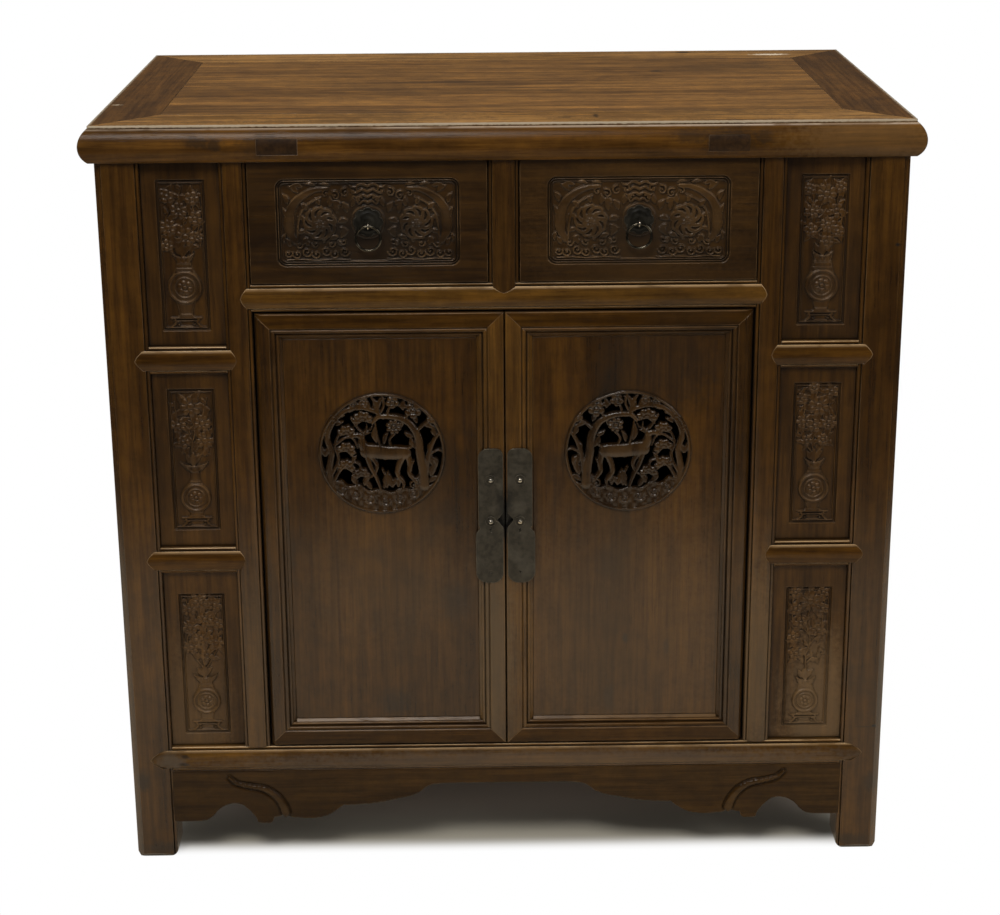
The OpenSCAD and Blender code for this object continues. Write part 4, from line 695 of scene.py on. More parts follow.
# Paler patches low on the lower carved panels, and a darker one high on the right.
carved_panel_marks = [((side * 0.42, -0.2950, 0.20), (0.07, 0.06, 0.17), (0.200, 0.125, 0.058, 1), share)
         for side, share in ((-1, 0.14), (1, 0.28))]
carved_panel_marks.append(((0.425, -0.2950, 0.78), (0.07, 0.06, 0.12), SOOT, 0.2))
carved_wood = aged_wood("carved_wood", "Z", (0.021, 0.0088, 0.0012, 1), (0.052, 0.0228, 0.0036, 1), WORN_AND_HIGHLIGHT,
                        lit=0.25, bands=0.2, shade_and_grime_strength=0.85, rough=0.34, polish=0.18, carved=0.08, marks=carved_panel_marks)

# The plain margin at the sides, the tongue that runs in the groove, how far behind the face the tongue
# starts and how deep the field is sunk. Then the margins under and over each field, and its drawn height.
margin_side, tongue_out, shoulder_back, relief = 17.5, 6.5, 5.0, 3.0
margins = {"upper": (18, 23, 196), "middle": (21, 21, 181), "lower": (16, 31, 188)}
for which, drawn in bouquets.items():
    node = f"carved_panel_{which}"
    low, high = box_mm(node)
    w, h = high[0] - low[0] - 2 * tongue_out, high[2] - low[2] - 2 * tongue_out
    margin_foot, margin_head, drawn_high = margins[which.split("_")[1]]
    field_w, field_low, field_high = w - 2 * margin_side, margin_foot - h / 2, h / 2 - margin_head
    work = new_work(ruled(-w / 2, w / 2, -field_w / 2 - 1, field_w / 2 + 1, PANEL_STEP),
                    ruled(-h / 2, h / 2, field_low - 1, field_high + 1, PANEL_STEP))
    sunk_field(work, field_w, field_high - field_low, relief, corner=1.5, slope=2.2,
               middle=(field_low + field_high) / 2)
    frame_line(work, 4.6, 1.7, 2.7)
    reach = (field_high - field_low) / drawn_high
    carve_bouquet(work, drawn, field_low, reach, field_w / 2 - 3)
    carve_vase(work, drawn, field_low, reach)
    edges = [(0, shoulder_back - relief), (tongue_out, shoulder_back - relief),
             (tongue_out, high[1] - low[1] - relief)]
    place = facing_front((low + high) / 2, low[1] + relief)
    board = carved_board(f"carved_board_{which}", work, place, edges)
    board.data.materials.append(carved_wood)
    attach(board, "case")
    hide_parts(node)


# Front apron: one shaped board let into slots in the legs, with its lower edge cut in lobes. At each
# end one rounded scroll is left standing between two grooves.


def contoured(work):
    """The solid part of a carved grid, cut along its outline: places, faces and the outline's edges."""
    inside, u, v, h = work["inside"], work["u"], work["v"], work["h"]
    solid = inside > 0
    number = np.full(solid.shape, -1)
    number[solid] = np.arange(solid.sum())
    uu, vv = np.meshgrid(u, v)
    places = np.column_stack([uu[solid], vv[solid], h[solid], work["raised"][solid]]).tolist()
    whole = solid[:-1, :-1] & solid[:-1, 1:] & solid[1:, 1:] & solid[1:, :-1]
    quads = np.stack([number[:-1, :-1], number[:-1, 1:], number[1:, 1:], number[1:, :-1]], -1)
    faces = quads[whole].tolist()
    some = (solid[:-1, :-1] | solid[:-1, 1:] | solid[1:, 1:] | solid[1:, :-1]) & ~whole
    crossings, outline = {}, []

    def crossing(a, b):
        """The number of the place where the outline crosses the line from a to b."""
        key = (a, b) if solid[a] else (b, a)
        if key not in crossings:
            near, far = key
            share = np.clip(inside[near] / (inside[near] - inside[far]), 0.08, 0.92)
            cut_u = (1 - share) * uu[near] + share * uu[far]
            cut_v = (1 - share) * vv[near] + share * vv[far]
            crossings[key] = len(places)
            places.append([cut_u, cut_v, h[near], work["raised"][near]])
        return crossings[key]

    for j, i in zip(*np.nonzero(some)):
        corners = [(j, i), (j, i + 1), (j + 1, i + 1), (j + 1, i)]
        loop, joins = [], []
        for a, b in zip(corners, corners[1:] + corners[:1]):
            if solid[a]:
                loop.append(int(number[a]))
            if solid[a] != solid[b]:
                loop.append(crossing(a, b))
                joins.append((solid[a], loop[-1]))
        faces.append(loop)
        if not joins[0][0]:
            joins = joins[1:] + joins[:1]
        outline += [(joins[k][1], joins[k + 1][1]) for k in range(0, len(joins), 2)]
    return np.array(places), faces, outline


def pierced_board(name, work, place, back_of):
    """A closed board cut along its outline: the carved face, walls, and a back whose depth back_of gives."""
    front, faces, outline = contoured(work)
    count = len(front)
    back = back_of(front[:, 0], front[:, 1])
    places = np.vstack([np.column_stack([front[:, :2], -front[:, 2]]), np.column_stack([front[:, :2], back])])
    faces = faces + [[n + count for n in reversed(loop)] for loop in faces]
    faces += [[b, a, a + count, b + count] for a, b in outline]
    raised = np.concatenate([front[:, 3], np.zeros(count)])
    return as_mesh(name, [place(*p) for p in places], faces, raised)


def both_halves(work):
    """The whole work from its right half, which starts at the middle line."""
    whole = dict(work)
    whole["u"] = np.concatenate([-work["u"][:0:-1], work["u"]])
    for name in ("h", "inside", "raised", "field"):
        if name in work:
            whole[name] = np.hstack([work[name][:, :0:-1], work[name]])
    return whole


def inside_of(polygon, u, v):
    """How far each place lies inside a closed outline, below zero outside it."""
    p = np.array(polygon, float)
    near, odd = np.full(u.shape, 1e9), np.zeros(u.shape, bool)
    for a, b in zip(p, np.roll(p, -1, axis=0)):
        d = b - a
        along = np.clip(((u - a[0]) * d[0] + (v - a[1]) * d[1]) / max(d @ d, 1e-9), 0, 1)
        near = np.minimum(near, np.hypot(u - a[0] - along * d[0], v - a[1] - along * d[1]))
        if a[1] != b[1]:
            odd ^= ((a[1] > v) != (b[1] > v)) & (u < a[0] + (v - a[1]) * d[0] / d[1])
    return np.where(odd, near, -near)


low, high = box_mm("front_apron")
apron_slot, apron_step = 6, 1.3
leg_in = high[0] - apron_slot

# The lower edge as curved stretches that meet in points, measured from the leg and up from apron_low.
lobes = [
    [(0, 0), (-20, 0), (-40, 1), (-50, 7), (-60, 18), (-73, 25), (-88, 25), (-99, 17), (-109, 4), (-111, -3)],
    [(-111, -3), (-119, -4), (-130, -3), (-133, 5)],
    [(-133, 5), (-142, 6), (-153, 5)],
    [(-153, 5), (-172, 3), (-190, 3), (-207, 7), (-218, 14), (-228, 22)],
    [(-228, 22), (-250, 22.5), (-275, 25), (-300, 30), (-318, 34), (-331, 39)],
    [(-331, 39), (-340, 47), (-353, 52), (-380, 53), (-449, 53.5)],
]
apron_low, apron_top = 56.0, high[2]
middle_line, middle_rise = -9, 53.5
edge = [(leg_in + x, apron_low + y) for lobe in lobes for x, y in flowing(lobe, 3)]
edge = [(leg_in + apron_slot, apron_top), (leg_in + apron_slot, apron_low)] + edge
edge += [(middle_line, apron_low + middle_rise), (middle_line, apron_top)]
work = new_work(np.arange(0, leg_in + apron_slot + apron_step, apron_step),
                np.arange(low[2] - apron_step, apron_top + apron_step, apron_step))
work["full"] = 2.6
uu, vv = np.meshgrid(work["u"], work["v"])
board_inside = inside_of(edge, uu, vv)
edge_drop, edge_wide = 1.2, 2.2
work["h"] = -edge_drop * np.clip(1 - board_inside / edge_wide, 0, 1) ** 2
scroll = [(-75, 65), (-85, 56), (-103, 51.5), (-122, 47), (-136, 37), (-145, 24), (-149, 12)]
scroll = [(leg_in + x, apron_low + y) for x, y in scroll]
scroll_from, scroll_to = 4.0, 12.0
stem(work, scroll, scroll_from, scroll_to, 2.2)
line = flowing(scroll, 3)
half_wide = np.linspace(scroll_from / 2, scroll_to / 2, len(line))
beside = np.min([np.hypot(uu - x, vv - y) - r for (x, y), r in zip(line, half_wide)], axis=0)
groove_deep, groove_from, groove_half = 2.0, 1.3, 1.5
work["h"] = work["h"] - groove_deep * np.exp(-(((beside - groove_from) / groove_half) ** 2))
work["inside"] = board_inside
work = both_halves(work)
# The apron's wood is darker than the legs', partly its own tone and partly painted shade.
apron_wood = aged_wood("apron_wood", "X", (0.015, 0.0066, 0.0012, 1), (0.036, 0.0170, 0.0034, 1), WORN_AND_HIGHLIGHT,
                       lit=0.0, polish=0.12, carved=0.10)
apron_face = low[1] + 2.5
apron = pierced_board("apron_board", work, facing_front((0, 0, 0), apron_face),
                      lambda u, v: np.full(len(u), high[1] - apron_face))
apron.data.materials.append(apron_wood)
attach(apron, "case")
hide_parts("front_apron")

side_apron_wood = aged_wood("side_apron_wood", "Y", DEEP, WARM, WORN_AND_HIGHLIGHT)
dress(["side_apron_left", "side_apron_right"], side_apron_wood)


# Inside: the floor of three planks and the runners under the drawers, housed in the frame. They and the
# boxes of the drawers are unfinished softwood gone grey brown.

RAW_DEEP = (0.055, 0.034, 0.019, 1)
RAW_WARM = (0.125, 0.083, 0.048, 1)
RAW_WORN_AND_HIGHLIGHT = (0.2, 0.14, 0.09, 1)
raw_wood_x = aged_wood("raw_wood_across", "X", RAW_DEEP, RAW_WARM, RAW_WORN_AND_HIGHLIGHT, rough=0.62)
raw_wood_y = aged_wood("raw_wood_deep", "Y", RAW_DEEP, RAW_WARM, RAW_WORN_AND_HIGHLIGHT, rough=0.62)
dress(["floor_board"], raw_wood_x)
dress(["drawer_runners"], raw_wood_y)


# Top board: a mitred frame of four members with a rounded edge round one wide floating panel. Two battens
# hold it flat from below, and the dark ends of their tenons show in the front edge.

# The top's wood is paler than the rest, and its front and back members paler again: partly worn, lighter wood
# and partly painted sheen from the lamp above.
TOP_DEEP = (0.109, 0.050, 0.0108, 1)
TOP_WARM = (0.228, 0.111, 0.0285, 1)
TOP_WORN_AND_HIGHLIGHT = (0.42, 0.27, 0.15, 1)
EDGE_DEEP = (0.038, 0.0165, 0.0030, 1)
EDGE_WARM = (0.090, 0.0400, 0.0078, 1)
BARE_AND_HIGHLIGHT = (0.30, 0.245, 0.175, 1)
panel_marks = [
    ((0.0731, -0.0552, 1.01), (0.030, 0.007, 0.01), SOOT, 0.5),
    ((0.2201, 0.1041, 1.01), (0.012, 0.012, 0.01), SOOT, 0.6),
    ((-0.10, 0.02, 1.01), (0.16, 0.006, 0.01), SOOT, 0.4),
]
rail_marks = [
    ((-0.44, -0.3125, 0.985), (0.13, 0.05, 0.05), SOOT, 0.13),
    ((0.45, -0.3125, 0.985), (0.14, 0.05, 0.05), (0.14, 0.080, 0.032, 1), 0.28),
    # Pale lines along the top's front and back arrises: bare wear and painted highlight.
    ((0, -0.3015, 1.0092), (3, 0.0050, 0.0026), BARE_AND_HIGHLIGHT, 1.0),
    ((0, 0.3015, 1.0092), (3, 0.0050, 0.0026), BARE_AND_HIGHLIGHT, 1.0),
    ((0.0795, -0.2650, 1.01), (0.014, 0.005, 0.01), SOOT, 0.7),
    ((0.1161, -0.2560, 1.01), (0.005, 0.018, 0.01), SOOT, 0.7),
    ((0.402, 0.2560, 1.01), (0.036, 0.010, 0.01), (0.60, 0.50, 0.38, 1), 1.0),
    ((0.2769, 0.2850, 1.01), (0.014, 0.014, 0.01), SOOT, 0.7),
    ((-0.3758, -0.3125, 0.9904), (0.020, 0.02, 0.010), SOOT, 0.6),
    ((-0.354, -0.3125, 0.9877), (0.014, 0.02, 0.012), SOOT, 0.6),
    ((0.2281, -0.3125, 0.9936), (0.030, 0.02, 0.012), SOOT, 0.45),
    ((0.3199, -0.3125, 0.9915), (0.016, 0.02, 0.014), SOOT, 0.5),
    ((-0.2969, -0.3125, 0.985), (0.044, 0.02, 0.024), SOOT, 0.45),
    ((0.2784, -0.3125, 0.986), (0.044, 0.02, 0.026), SOOT, 0.5),
]
end_marks = [
    # Pale lines along the ends' arrises: bare wear and painted highlight.
    ((-0.509, 0, 1.0092), (0.0050, 3, 0.0026), BARE_AND_HIGHLIGHT, 1.0),
    ((0.509, 0, 1.0092), (0.0050, 3, 0.0026), BARE_AND_HIGHLIGHT, 1.0),
    ((-0.496, -0.1452, 1.01), (0.010, 0.006, 0.01), (0.40, 0.32, 0.22, 1), 0.6),
]
top_panel_wood = aged_wood("top_panel_wood", "X", TOP_DEEP, TOP_WARM, TOP_WORN_AND_HIGHLIGHT,
                           figure=0.12, wear=0.5, bands=0.6, marks=panel_marks)
top_rail_wood = aged_wood("top_rail_wood", "X", (0.144, 0.072, 0.0200, 1), (0.315, 0.172, 0.060, 1),
                          (0.62, 0.52, 0.41, 1), upright=(EDGE_DEEP, EDGE_WARM), figure=0.06, wear=0.15,
                          lit=0.0, polish=0.07, marks=rail_marks)
# The end members are darker than the panel: partly their own grain, which runs front to back, and partly
# painted shade for the duller sheen across that grain.
top_end_wood = aged_wood("top_end_wood", "Y", (0.056, 0.0235, 0.0040, 1), (0.120, 0.053, 0.0110, 1),
                         (0.40, 0.27, 0.16, 1), upright=(EDGE_DEEP, EDGE_WARM), figure=0.06, wear=0.3,
                         lit=0.0, polish=0.2, marks=end_marks)
tenon_wood = aged_wood("tenon_wood", "Y", (0.015, 0.0068, 0.0018, 1), (0.030, 0.0140, 0.0038, 1), WORN_AND_HIGHLIGHT,
                       wear=0.12, lit=0.0, rough=0.5, polish=0.1)
dress(["top_panel"], top_panel_wood)
dress(["top_front_rail", "top_back_rail"], top_rail_wood)
dress(["top_end_left", "top_end_right"], top_end_wood)
dress(["top_battens"], tenon_wood)


# Drawer fronts: solid boards with a sunk field, in which flowers and scrolls stand round a bare
# boss for the pull. Both halves of the field mirror each other, and both drawers are carved alike.

drawer_marks = [
    ((0.168, -0.2985, 0.880), (0.19, 0.08, 0.14), (0.090, 0.045, 0.012, 1), 0.15),
    ((-0.168, -0.2985, 0.870), (0.12, 0.06, 0.07), SOOT, 0.40),
    ((0.168, -0.2985, 0.870), (0.10, 0.06, 0.05), SOOT, 0.45),
]
# The drawer fronts are darker than the legs, partly their own tone and partly painted shade under the top's
# overhang.
drawer_wood = aged_wood("drawer_wood", "X", (0.0135, 0.0060, 0.0012, 1), (0.032, 0.0148, 0.0030, 1), WORN_AND_HIGHLIGHT,
                        lit=0.40, shade_and_grime_strength=0.7, rough=0.28, polish=0.25, carved=0.10, marks=drawer_marks)

# Millimetres from the middle of the field. Leaves: across, up, heading, length, width. Scrolls: across, up,
# radius, where each starts and how many turns it makes.
drawer_leaves = [
    (25, 13, 60, 15, 8), (25, 3, -15, 14, 8), (25, -9, -50, 15, 8), (33, 22, 20, 14, 7),
    (38, 12, 70, 13, 7), (36, -6, 195, 10, 6), (37, -18, -20, 13, 7), (48, 20, 95, 13, 7),
    (60, 22, 60, 11, 6), (75, 16, 45, 12, 7), (78, 4, 20, 10, 6), (78, -10, -25, 10, 6),
    (74, -19, -50, 12, 7), (86, 38, 35, 15, 7), (80, 45, 10, 15, 6), (99, 24, 62, 15, 7),
    (103, 8, 75, 12, 5), (103, -14, -80, 12, 5), (64, 47, 8, 15, 5), (46, 47, 5, 15, 5),
    (20, 20, 100, 13, 7), (34, -30, 60, 10, 6), (55, -26, 70, 9, 6), (76, -30, 80, 9, 6),
    (97, -30, 60, 12, 6),
]
drawer_scrolls = [
    (30, -37, 6.5, 200, 1.2), (42, -40, 6.0, 20, -1.2), (53, -36, 6.5, 200, 1.2), (65, -40, 6.0, 20, -1.2),
    (77, -37, 6.5, 200, 1.2), (89, -40, 6.0, 20, -1.2), (100, -39, 5.0, 200, 1.0), (17, 40, 5.5, 60, 1.1),
    (28, 38, 6.0, 100, -1.1), (40, 34, 6.0, 60, 1.1), (52, 37, 4.5, 100, -1.0), (11, 29, 4.5, 160, -1.0),
    (44, 0, 4.0, 0, 1.0), (31, -24, 4.5, 0, -1.0), (46, -27, 4.5, 180, 1.0), (66, -27, 4.5, 0, -1.0),
    (86, -28, 4.5, 180, 1.0),
]


def carve_drawer_half(half):
    """The right half of a drawer's field: arcs, a flower of hooked petals, leaves, scrolls and waves."""
    stem(half, [(98, -4), (97, 10), (91, 24), (80, 34), (66, 41), (50, 43)], 14, 5, 2.6)
    stem(half, [(98, -4), (97, -13), (91, -24)], 14, 8, 2.6)
    stem(half, [(88, -22), (87, -4), (83, 12), (73, 24), (58, 32)], 3.0, 2.2, 2.9, groove=0.4)
    for k in range(9):
        petal = ((8, 0), (13, 10), (18, 28), (20, 52), (17.5, 68))
        hook = [(r, math.radians(40 * k + turn)) for r, turn in petal]
        hook = [(60 + r * math.cos(a), -1 + r * math.sin(a)) for r, a in hook]
        stem(half, hook, 6.4, 3.0, 3.0, groove=0.5)
    blossom(half, (60, -1), 11.5, 3.3, petals=7)
    blossom(half, (60, -1), 5.5, 3.7, petals=5)
    for u, v, heading, length, width in drawer_leaves:
        leaf(half, (u, v), heading, length, width, 2.5)
    for u, v, r, start, turns in drawer_scrolls:
        curl(half, (u, v), r, start, turns, 2.5, 2.9)
    for k, rise in enumerate((26, 33, 40, 47)):
        wave = [(0, rise - 1), (5 + k, rise + 1.5), (10 + 2 * k, rise - 2.5), (13 + 3 * k, rise)]
        stem(half, wave, 4.0, 2.2, 3.0, groove=0.4)
    stem(half, [(24, -47.5), (44, -46.5), (64, -47.5), (84, -46.5), (102, -47)], 2.4, 2.0, 2.6)


drawer_step = 0.8
field_w, field_h, field_deep, ground_back = 228.0, 111.0, 3.2, 3.0
boss_r, boss_rise = 21.0, 0.7
for side in ("left", "right"):
    node = f"drawer_front_{side}"
    low, high = box_mm(node)
    w, h = high[0] - low[0], high[2] - low[2]
    work = new_work(ruled(-w / 2, w / 2, -field_w / 2 - 1, field_w / 2 + 1, drawer_step),
                    ruled(-h / 2, h / 2, -field_h / 2 - 1, field_h / 2 + 1, drawer_step))
    middle = int(np.argmin(np.abs(work["u"])))
    work["u"][middle] = 0.0
    half = new_work(work["u"][middle:], work["v"])
    sunk_field(half, field_w, field_h, field_deep, corner=11)
    frame_line(half, 2.6, 1.3, 3.0)
    frame_line(half, 5.6, 1.3, 2.8)
    carve_drawer_half(half)
    uu, vv = np.meshgrid(half["u"], half["v"])
    boss = boss_r + 0.6 - np.hypot(uu, vv - boss_rise)
    boss_top = np.maximum(np.clip(boss / 0.8, 0, 1) * 3.0, half["h"] * (boss < 0.8))
    half["h"] = np.where(boss > 0, boss_top, half["h"])
    half["raised"] = np.where(boss > 0, 0, half["raised"])
    front = carved_board(f"drawer_face_{side}", both_halves(half),
                         facing_front((low + high) / 2, low[1] + ground_back),
                         [(0, high[1] - low[1] - ground_back)])
    front.data.materials.append(drawer_wood)
    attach(front, f"{side}_drawer")
    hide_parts(node)
    dress([f"drawer_box_{side}"], raw_wood_y)
    dress([f"drawer_bottom_{side}"], raw_wood_x)


# Pulls: a thin round brass plate with a scalloped edge, hammered up into a low dome round the eye. A split
# pin goes through it and the drawer front, and a loose ring hangs in the pin's eye.


def old_brass(name, low, high, rubbed_share, metal, rough=0.40, shine=0.35, marks=()):
    """Brass gone dark olive brown, from low to high, and bright only where fingers and the ring rub it."""
    material = bpy.data.materials.new(name)
    material.use_nodes = True
    t = material.node_tree
    t.nodes.clear()
    place = put(t, "TexCoord").outputs["Object"]
    wires = {"Vector": place, "Scale": 160.0, "Detail": 6.0, "Roughness": 0.65}
    mottle = put(t, "TexNoise", wires).outputs["Fac"]
    wires = {"Vector": place, "Scale": 34.0, "Detail": 3.0, "Roughness": 0.5}
    broad = put(t, "TexNoise", wires).outputs["Fac"]
    soft_edge = put(t, "Bevel", {"Radius": 0.0007}, samples=5).outputs[0]
    flat = put(t, "NewGeometry").outputs["Normal"]
    turned = put(t, "VectorMath", {0: soft_edge, 1: flat}, operation="DOT_PRODUCT").outputs["Value"]
    edge = spread(t, turned, 0.995, 0.86, 0.0, min(1.0, rubbed_share + 0.3))
    pale_share = sum_of(t, "MAXIMUM", edge, spread(t, broad, 0.46, 0.66, 0.0, rubbed_share))
    near = put(t, "AmbientOcclusion", {"Distance": 0.004}, samples=5).outputs["AO"]
    pale_share = sum_of(t, "MULTIPLY", pale_share, spread(t, near, 0.55, 0.95))
    dark = tint(t, spread(t, mottle, 0.32, 0.68), low, high)
    colour = tint(t, pale_share, dark, (0.44, 0.39, 0.30, 1))
    for at, size, over, share in marks:
        colour = blemish(t, place, colour, at, size, over, share)
    gloss = spread(t, mottle, 0.3, 0.7, rough - 0.07, rough + 0.09)
    dents = put(t, "Bump", {"Strength": 0.3, "Distance": 0.0003, "Height": broad, "Normal": soft_edge})
    wires = {"Base Color": colour, "Roughness": gloss, "Metallic": spread(t, pale_share, 0.0, 0.6, metal, 1.0),
             "Normal": dents.outputs[0], "Specular IOR Level": shine}
    put(t, "OutputMaterial", {"Surface": put(t, "BsdfPrincipled", wires).outputs[0]})
    return material


def turned_disc(name, rings, middle, facing_y, lobes=0, lobe_depth=0.0, count=64):
    """A round piece that faces the front: rings of (radius, how far out), the outer ones waved into lobes."""
    places, faces = [], []
    outer = max(r for r, out in rings)
    for r, out in rings:
        for k in range(count):
            a = 2 * math.pi * k / count
            dip = 1 - abs(math.cos(a * lobes / 2)) ** 0.6
            wave = 1 - lobe_depth * (r / outer) ** 4 * dip if lobes else 1
            x, z = middle[0] + r * wave * math.cos(a), middle[1] + r * wave * math.sin(a)
            places.append((x / MM, (facing_y - out) / MM, z / MM))
    for n in range(len(rings) - 1):
        for k in range(count):
            m = (k + 1) % count
            faces.append([n * count + k, n * count + m, (n + 1) * count + m, (n + 1) * count + k])
    faces.append(list(range(count))[::-1])
    faces.append([(len(rings) - 1) * count + k for k in range(count)])
    return as_mesh(name, places, faces, sharp=42)


pull_plate_brass = old_brass("pull_plate_brass", (0.003, 0.0026, 0.0018, 1), (0.009, 0.0078, 0.0052, 1),
                             0.02, 0.05, shine=0.15)
ring_brass = old_brass("ring_brass", (0.030, 0.026, 0.019, 1), (0.080, 0.070, 0.052, 1),
                       0.25, 0.95, rough=0.22)
staple_brass = old_brass("staple_brass", (0.16, 0.145, 0.12, 1), (0.34, 0.31, 0.26, 1), 0.8, 0.95, rough=0.20)
for side in ("left", "right"):
    node = f"pull_plate_{side}"
    low, high = box_mm(node)
    middle, plate_r = (low + high) / 2, (high[0] - low[0]) / 2
    rings = [(plate_r - 0.4, 0.0), (plate_r, 0.3), (plate_r, 0.9), (plate_r - 1.0, 1.3),
             (plate_r - 2.6, 0.9), (plate_r - 4.2, 1.1), (12.5, 1.9), (11.2, 2.4), (9.8, 2.0), (7.5, 2.3),
             (5.6, 3.0), (4.4, 3.1), (3.4, 2.6), (2.2, 2.5)]
    plate = turned_disc(f"pull_back_plate_{side}", rings, (middle[0], middle[2]), high[1],
                        lobes=8, lobe_depth=0.13, count=96)
    plate.data.materials.append(pull_plate_brass)
    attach(plate, f"{side}_drawer")
    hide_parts(node)
    dress([f"pull_staple_{side}"], staple_brass)
    dress([f"pull_ring_{side}"], ring_brass)


# Doors: two stiles and two rails, mitred on the face and tenoned behind, round a floating panel. They turn
# on wooden pins. Each has a brass plate beside the seam, nailed on, with two studs that held a lock.

DOOR_DEEP = (0.018, 0.0076, 0.0011, 1)
DOOR_WARM = (0.044, 0.0190, 0.0030, 1)
hinge_stile_wood = aged_wood("hinge_stile_wood", "Z", DOOR_DEEP, DOOR_WARM, WORN_AND_HIGHLIGHT, figure=0.06)
lock_marks = [((-0.02, -0.2985, 0.30), (0.04, 0.06, 0.24), (0.130, 0.094, 0.052, 1), 0.20),
              ((0, -0.2965, 0.4930), (0.040, 0.08, 0.048), (0.002, 0.0017, 0.0013, 1), 1.0)]
lock_stile_wood = aged_wood("lock_stile_wood", "Z", (0.033, 0.0145, 0.0022, 1), (0.076, 0.0350, 0.0058, 1),
                            WORN_AND_HIGHLIGHT, figure=0.06, marks=lock_marks)
door_rail_wood = aged_wood("door_rail_wood", "X", DOOR_DEEP, DOOR_WARM, WORN_AND_HIGHLIGHT,
                           figure=0.06, lit=0.35, polish=0.12)
door_marks = [
    ((-0.065, -0.2875, 0.372), (0.030, 0.05, 0.040), SOOT, 0.45),
    ((-0.150, -0.2875, 0.228), (0.028, 0.05, 0.030), SOOT, 0.45),
    ((-0.284, -0.2875, 0.440), (0.012, 0.05, 0.040), SOOT, 0.5),
    ((0.158, -0.2875, 0.317), (0.005, 0.05, 0.010), SOOT, 0.8),
    ((0.2128, -0.2875, 0.304), (0.005, 0.05, 0.014), SOOT, 0.5),
    ((0.20, -0.2875, 0.70), (0.13, 0.08, 0.09), SOOT, 0.42),
    ((-0.17, -0.2875, 0.74), (0.20, 0.08, 0.10), SOOT, 0.18),
    ((-0.16, -0.2875, 0.43), (0.14, 0.08, 0.16), (0.140, 0.090, 0.042, 1), 0.06),
    ((0.137, -0.2875, 0.232), (0.010, 0.05, 0.030), SOOT, 0.45),
    ((0.155, -0.2875, 0.34), (0.22, 0.08, 0.28), (0.140, 0.084, 0.038, 1), 0.10),
]
door_panel_wood = aged_wood("door_panel_wood", "Z", (0.0215, 0.0088, 0.0011, 1), (0.054, 0.0230, 0.0033, 1),
                            WORN_AND_HIGHLIGHT, figure=0.06, stains=0.7, lit=0.15, bands=0.25, marks=door_marks)
# The lock plates are darkened beside the seam between the doors.
dark_beside_the_seam = [((0, -0.3, 0.515), (0.013, 0.05, 0.035), (0.002, 0.0018, 0.0015, 1), 0.8)]
lock_brass = old_brass("lock_brass", (0.013, 0.0106, 0.0066, 1), (0.030, 0.0245, 0.0150, 1),
                       0.03, 0.25, rough=0.42, marks=dark_beside_the_seam)
knob_brass = old_brass("knob_brass", (0.20, 0.185, 0.155, 1), (0.42, 0.39, 0.34, 1), 0.9, 0.9, rough=0.20)

# The studs and the nail as rings of (radius, how far out from the plate), in millimetres.
collar = [(6.9, 0.0), (7.2, 0.4), (7.0, 0.9), (6.2, 1.1), (5.2, 0.9), (4.2, 0.5), (3.2, 0.6), (2.6, 1.4)]
knob = [(1.8, 0.8), (1.9, 1.6), (2.6, 2.2), (3.0, 3.1), (2.9, 4.0), (2.3, 4.8), (1.3, 5.3), (0.5, 5.4)]
nail = [(1.5, 0.0), (1.6, 0.3), (1.3, 0.6), (0.7, 0.8), (0.3, 0.8)]
stud_rim, stud_tall, nail_drop = 6.5, 5.3, 11.5
for side in ("left", "right"):
    dress([f"hinge_stile_{side}"], hinge_stile_wood)
    dress([f"lock_stile_{side}"], lock_stile_wood)
    dress([f"door_rails_{side}"], door_rail_wood)
    dress([f"door_panel_{side}"], door_panel_wood)
    dress([f"lock_plate_{side}"], lock_brass)
    low, high = box_mm(f"lock_studs_{side}")
    plate_y, stud_x = low[1] + stud_tall, (low[0] + high[0]) / 2
    for height, z in (("upper", high[2] - stud_rim), ("lower", low[2] + stud_rim)):
        fixings = [("stud_collar", collar, lock_brass, z, 8, 0.10),
                   ("stud_knob", knob, knob_brass, z, 0, 0.0)]
        if height == "lower":
            fixings.append(("nail", nail, pull_plate_brass, z - nail_drop, 0, 0.0))
        for kind, rings, brass, at_z, lobes, depth in fixings:
            name = f"{kind}_{side}_{height}"
            fixing = turned_disc(name, rings, (stud_x, at_z), plate_y, lobes, depth, count=40)
            fixing.data.materials.append(brass)
            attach(fixing, f"{side}_door")
            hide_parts(f"lock_studs_{side}")


# Roundels: pierced discs let into the door panels. A deer stands on rocks under a bent tree, with fans of
# leaves and open flowers round it, all cut through to the dark behind. The right one is its mirror image.


def fan(work, at, r, heading, height):
    """A leaf like an open fan, ribbed from its stalk and scalloped along its edge."""
    opening = 115
    part, u, v = reach_of(work, at[0] - r - 2, at[0] + r + 2, at[1] - r - 2, at[1] + r + 2)
    x, y = u - at[0], v - at[1]
    d = np.hypot(x, y)
    a = (np.degrees(np.arctan2(y, x)) - heading + 180) % 360 - 180
    edge = r * (0.93 + 0.07 * np.cos(np.radians(a) * 9))
    side = (opening - np.abs(a)) * np.pi / 180 * np.maximum(d, 0.35 * r)
    ribs = 0.45 * np.cos(np.radians(a) * 9) * np.clip(d / r, 0, 1)
    cup = 0.7 + 0.3 * np.sin(np.pi * np.clip(d / edge, 0, 1) ** 1.4)
    band = 0.6 * np.exp(-(((d - 0.4 * r) / 0.7) ** 2))
    leave_standing(work, part, np.minimum(edge - d, side), height * cup + ribs - band)


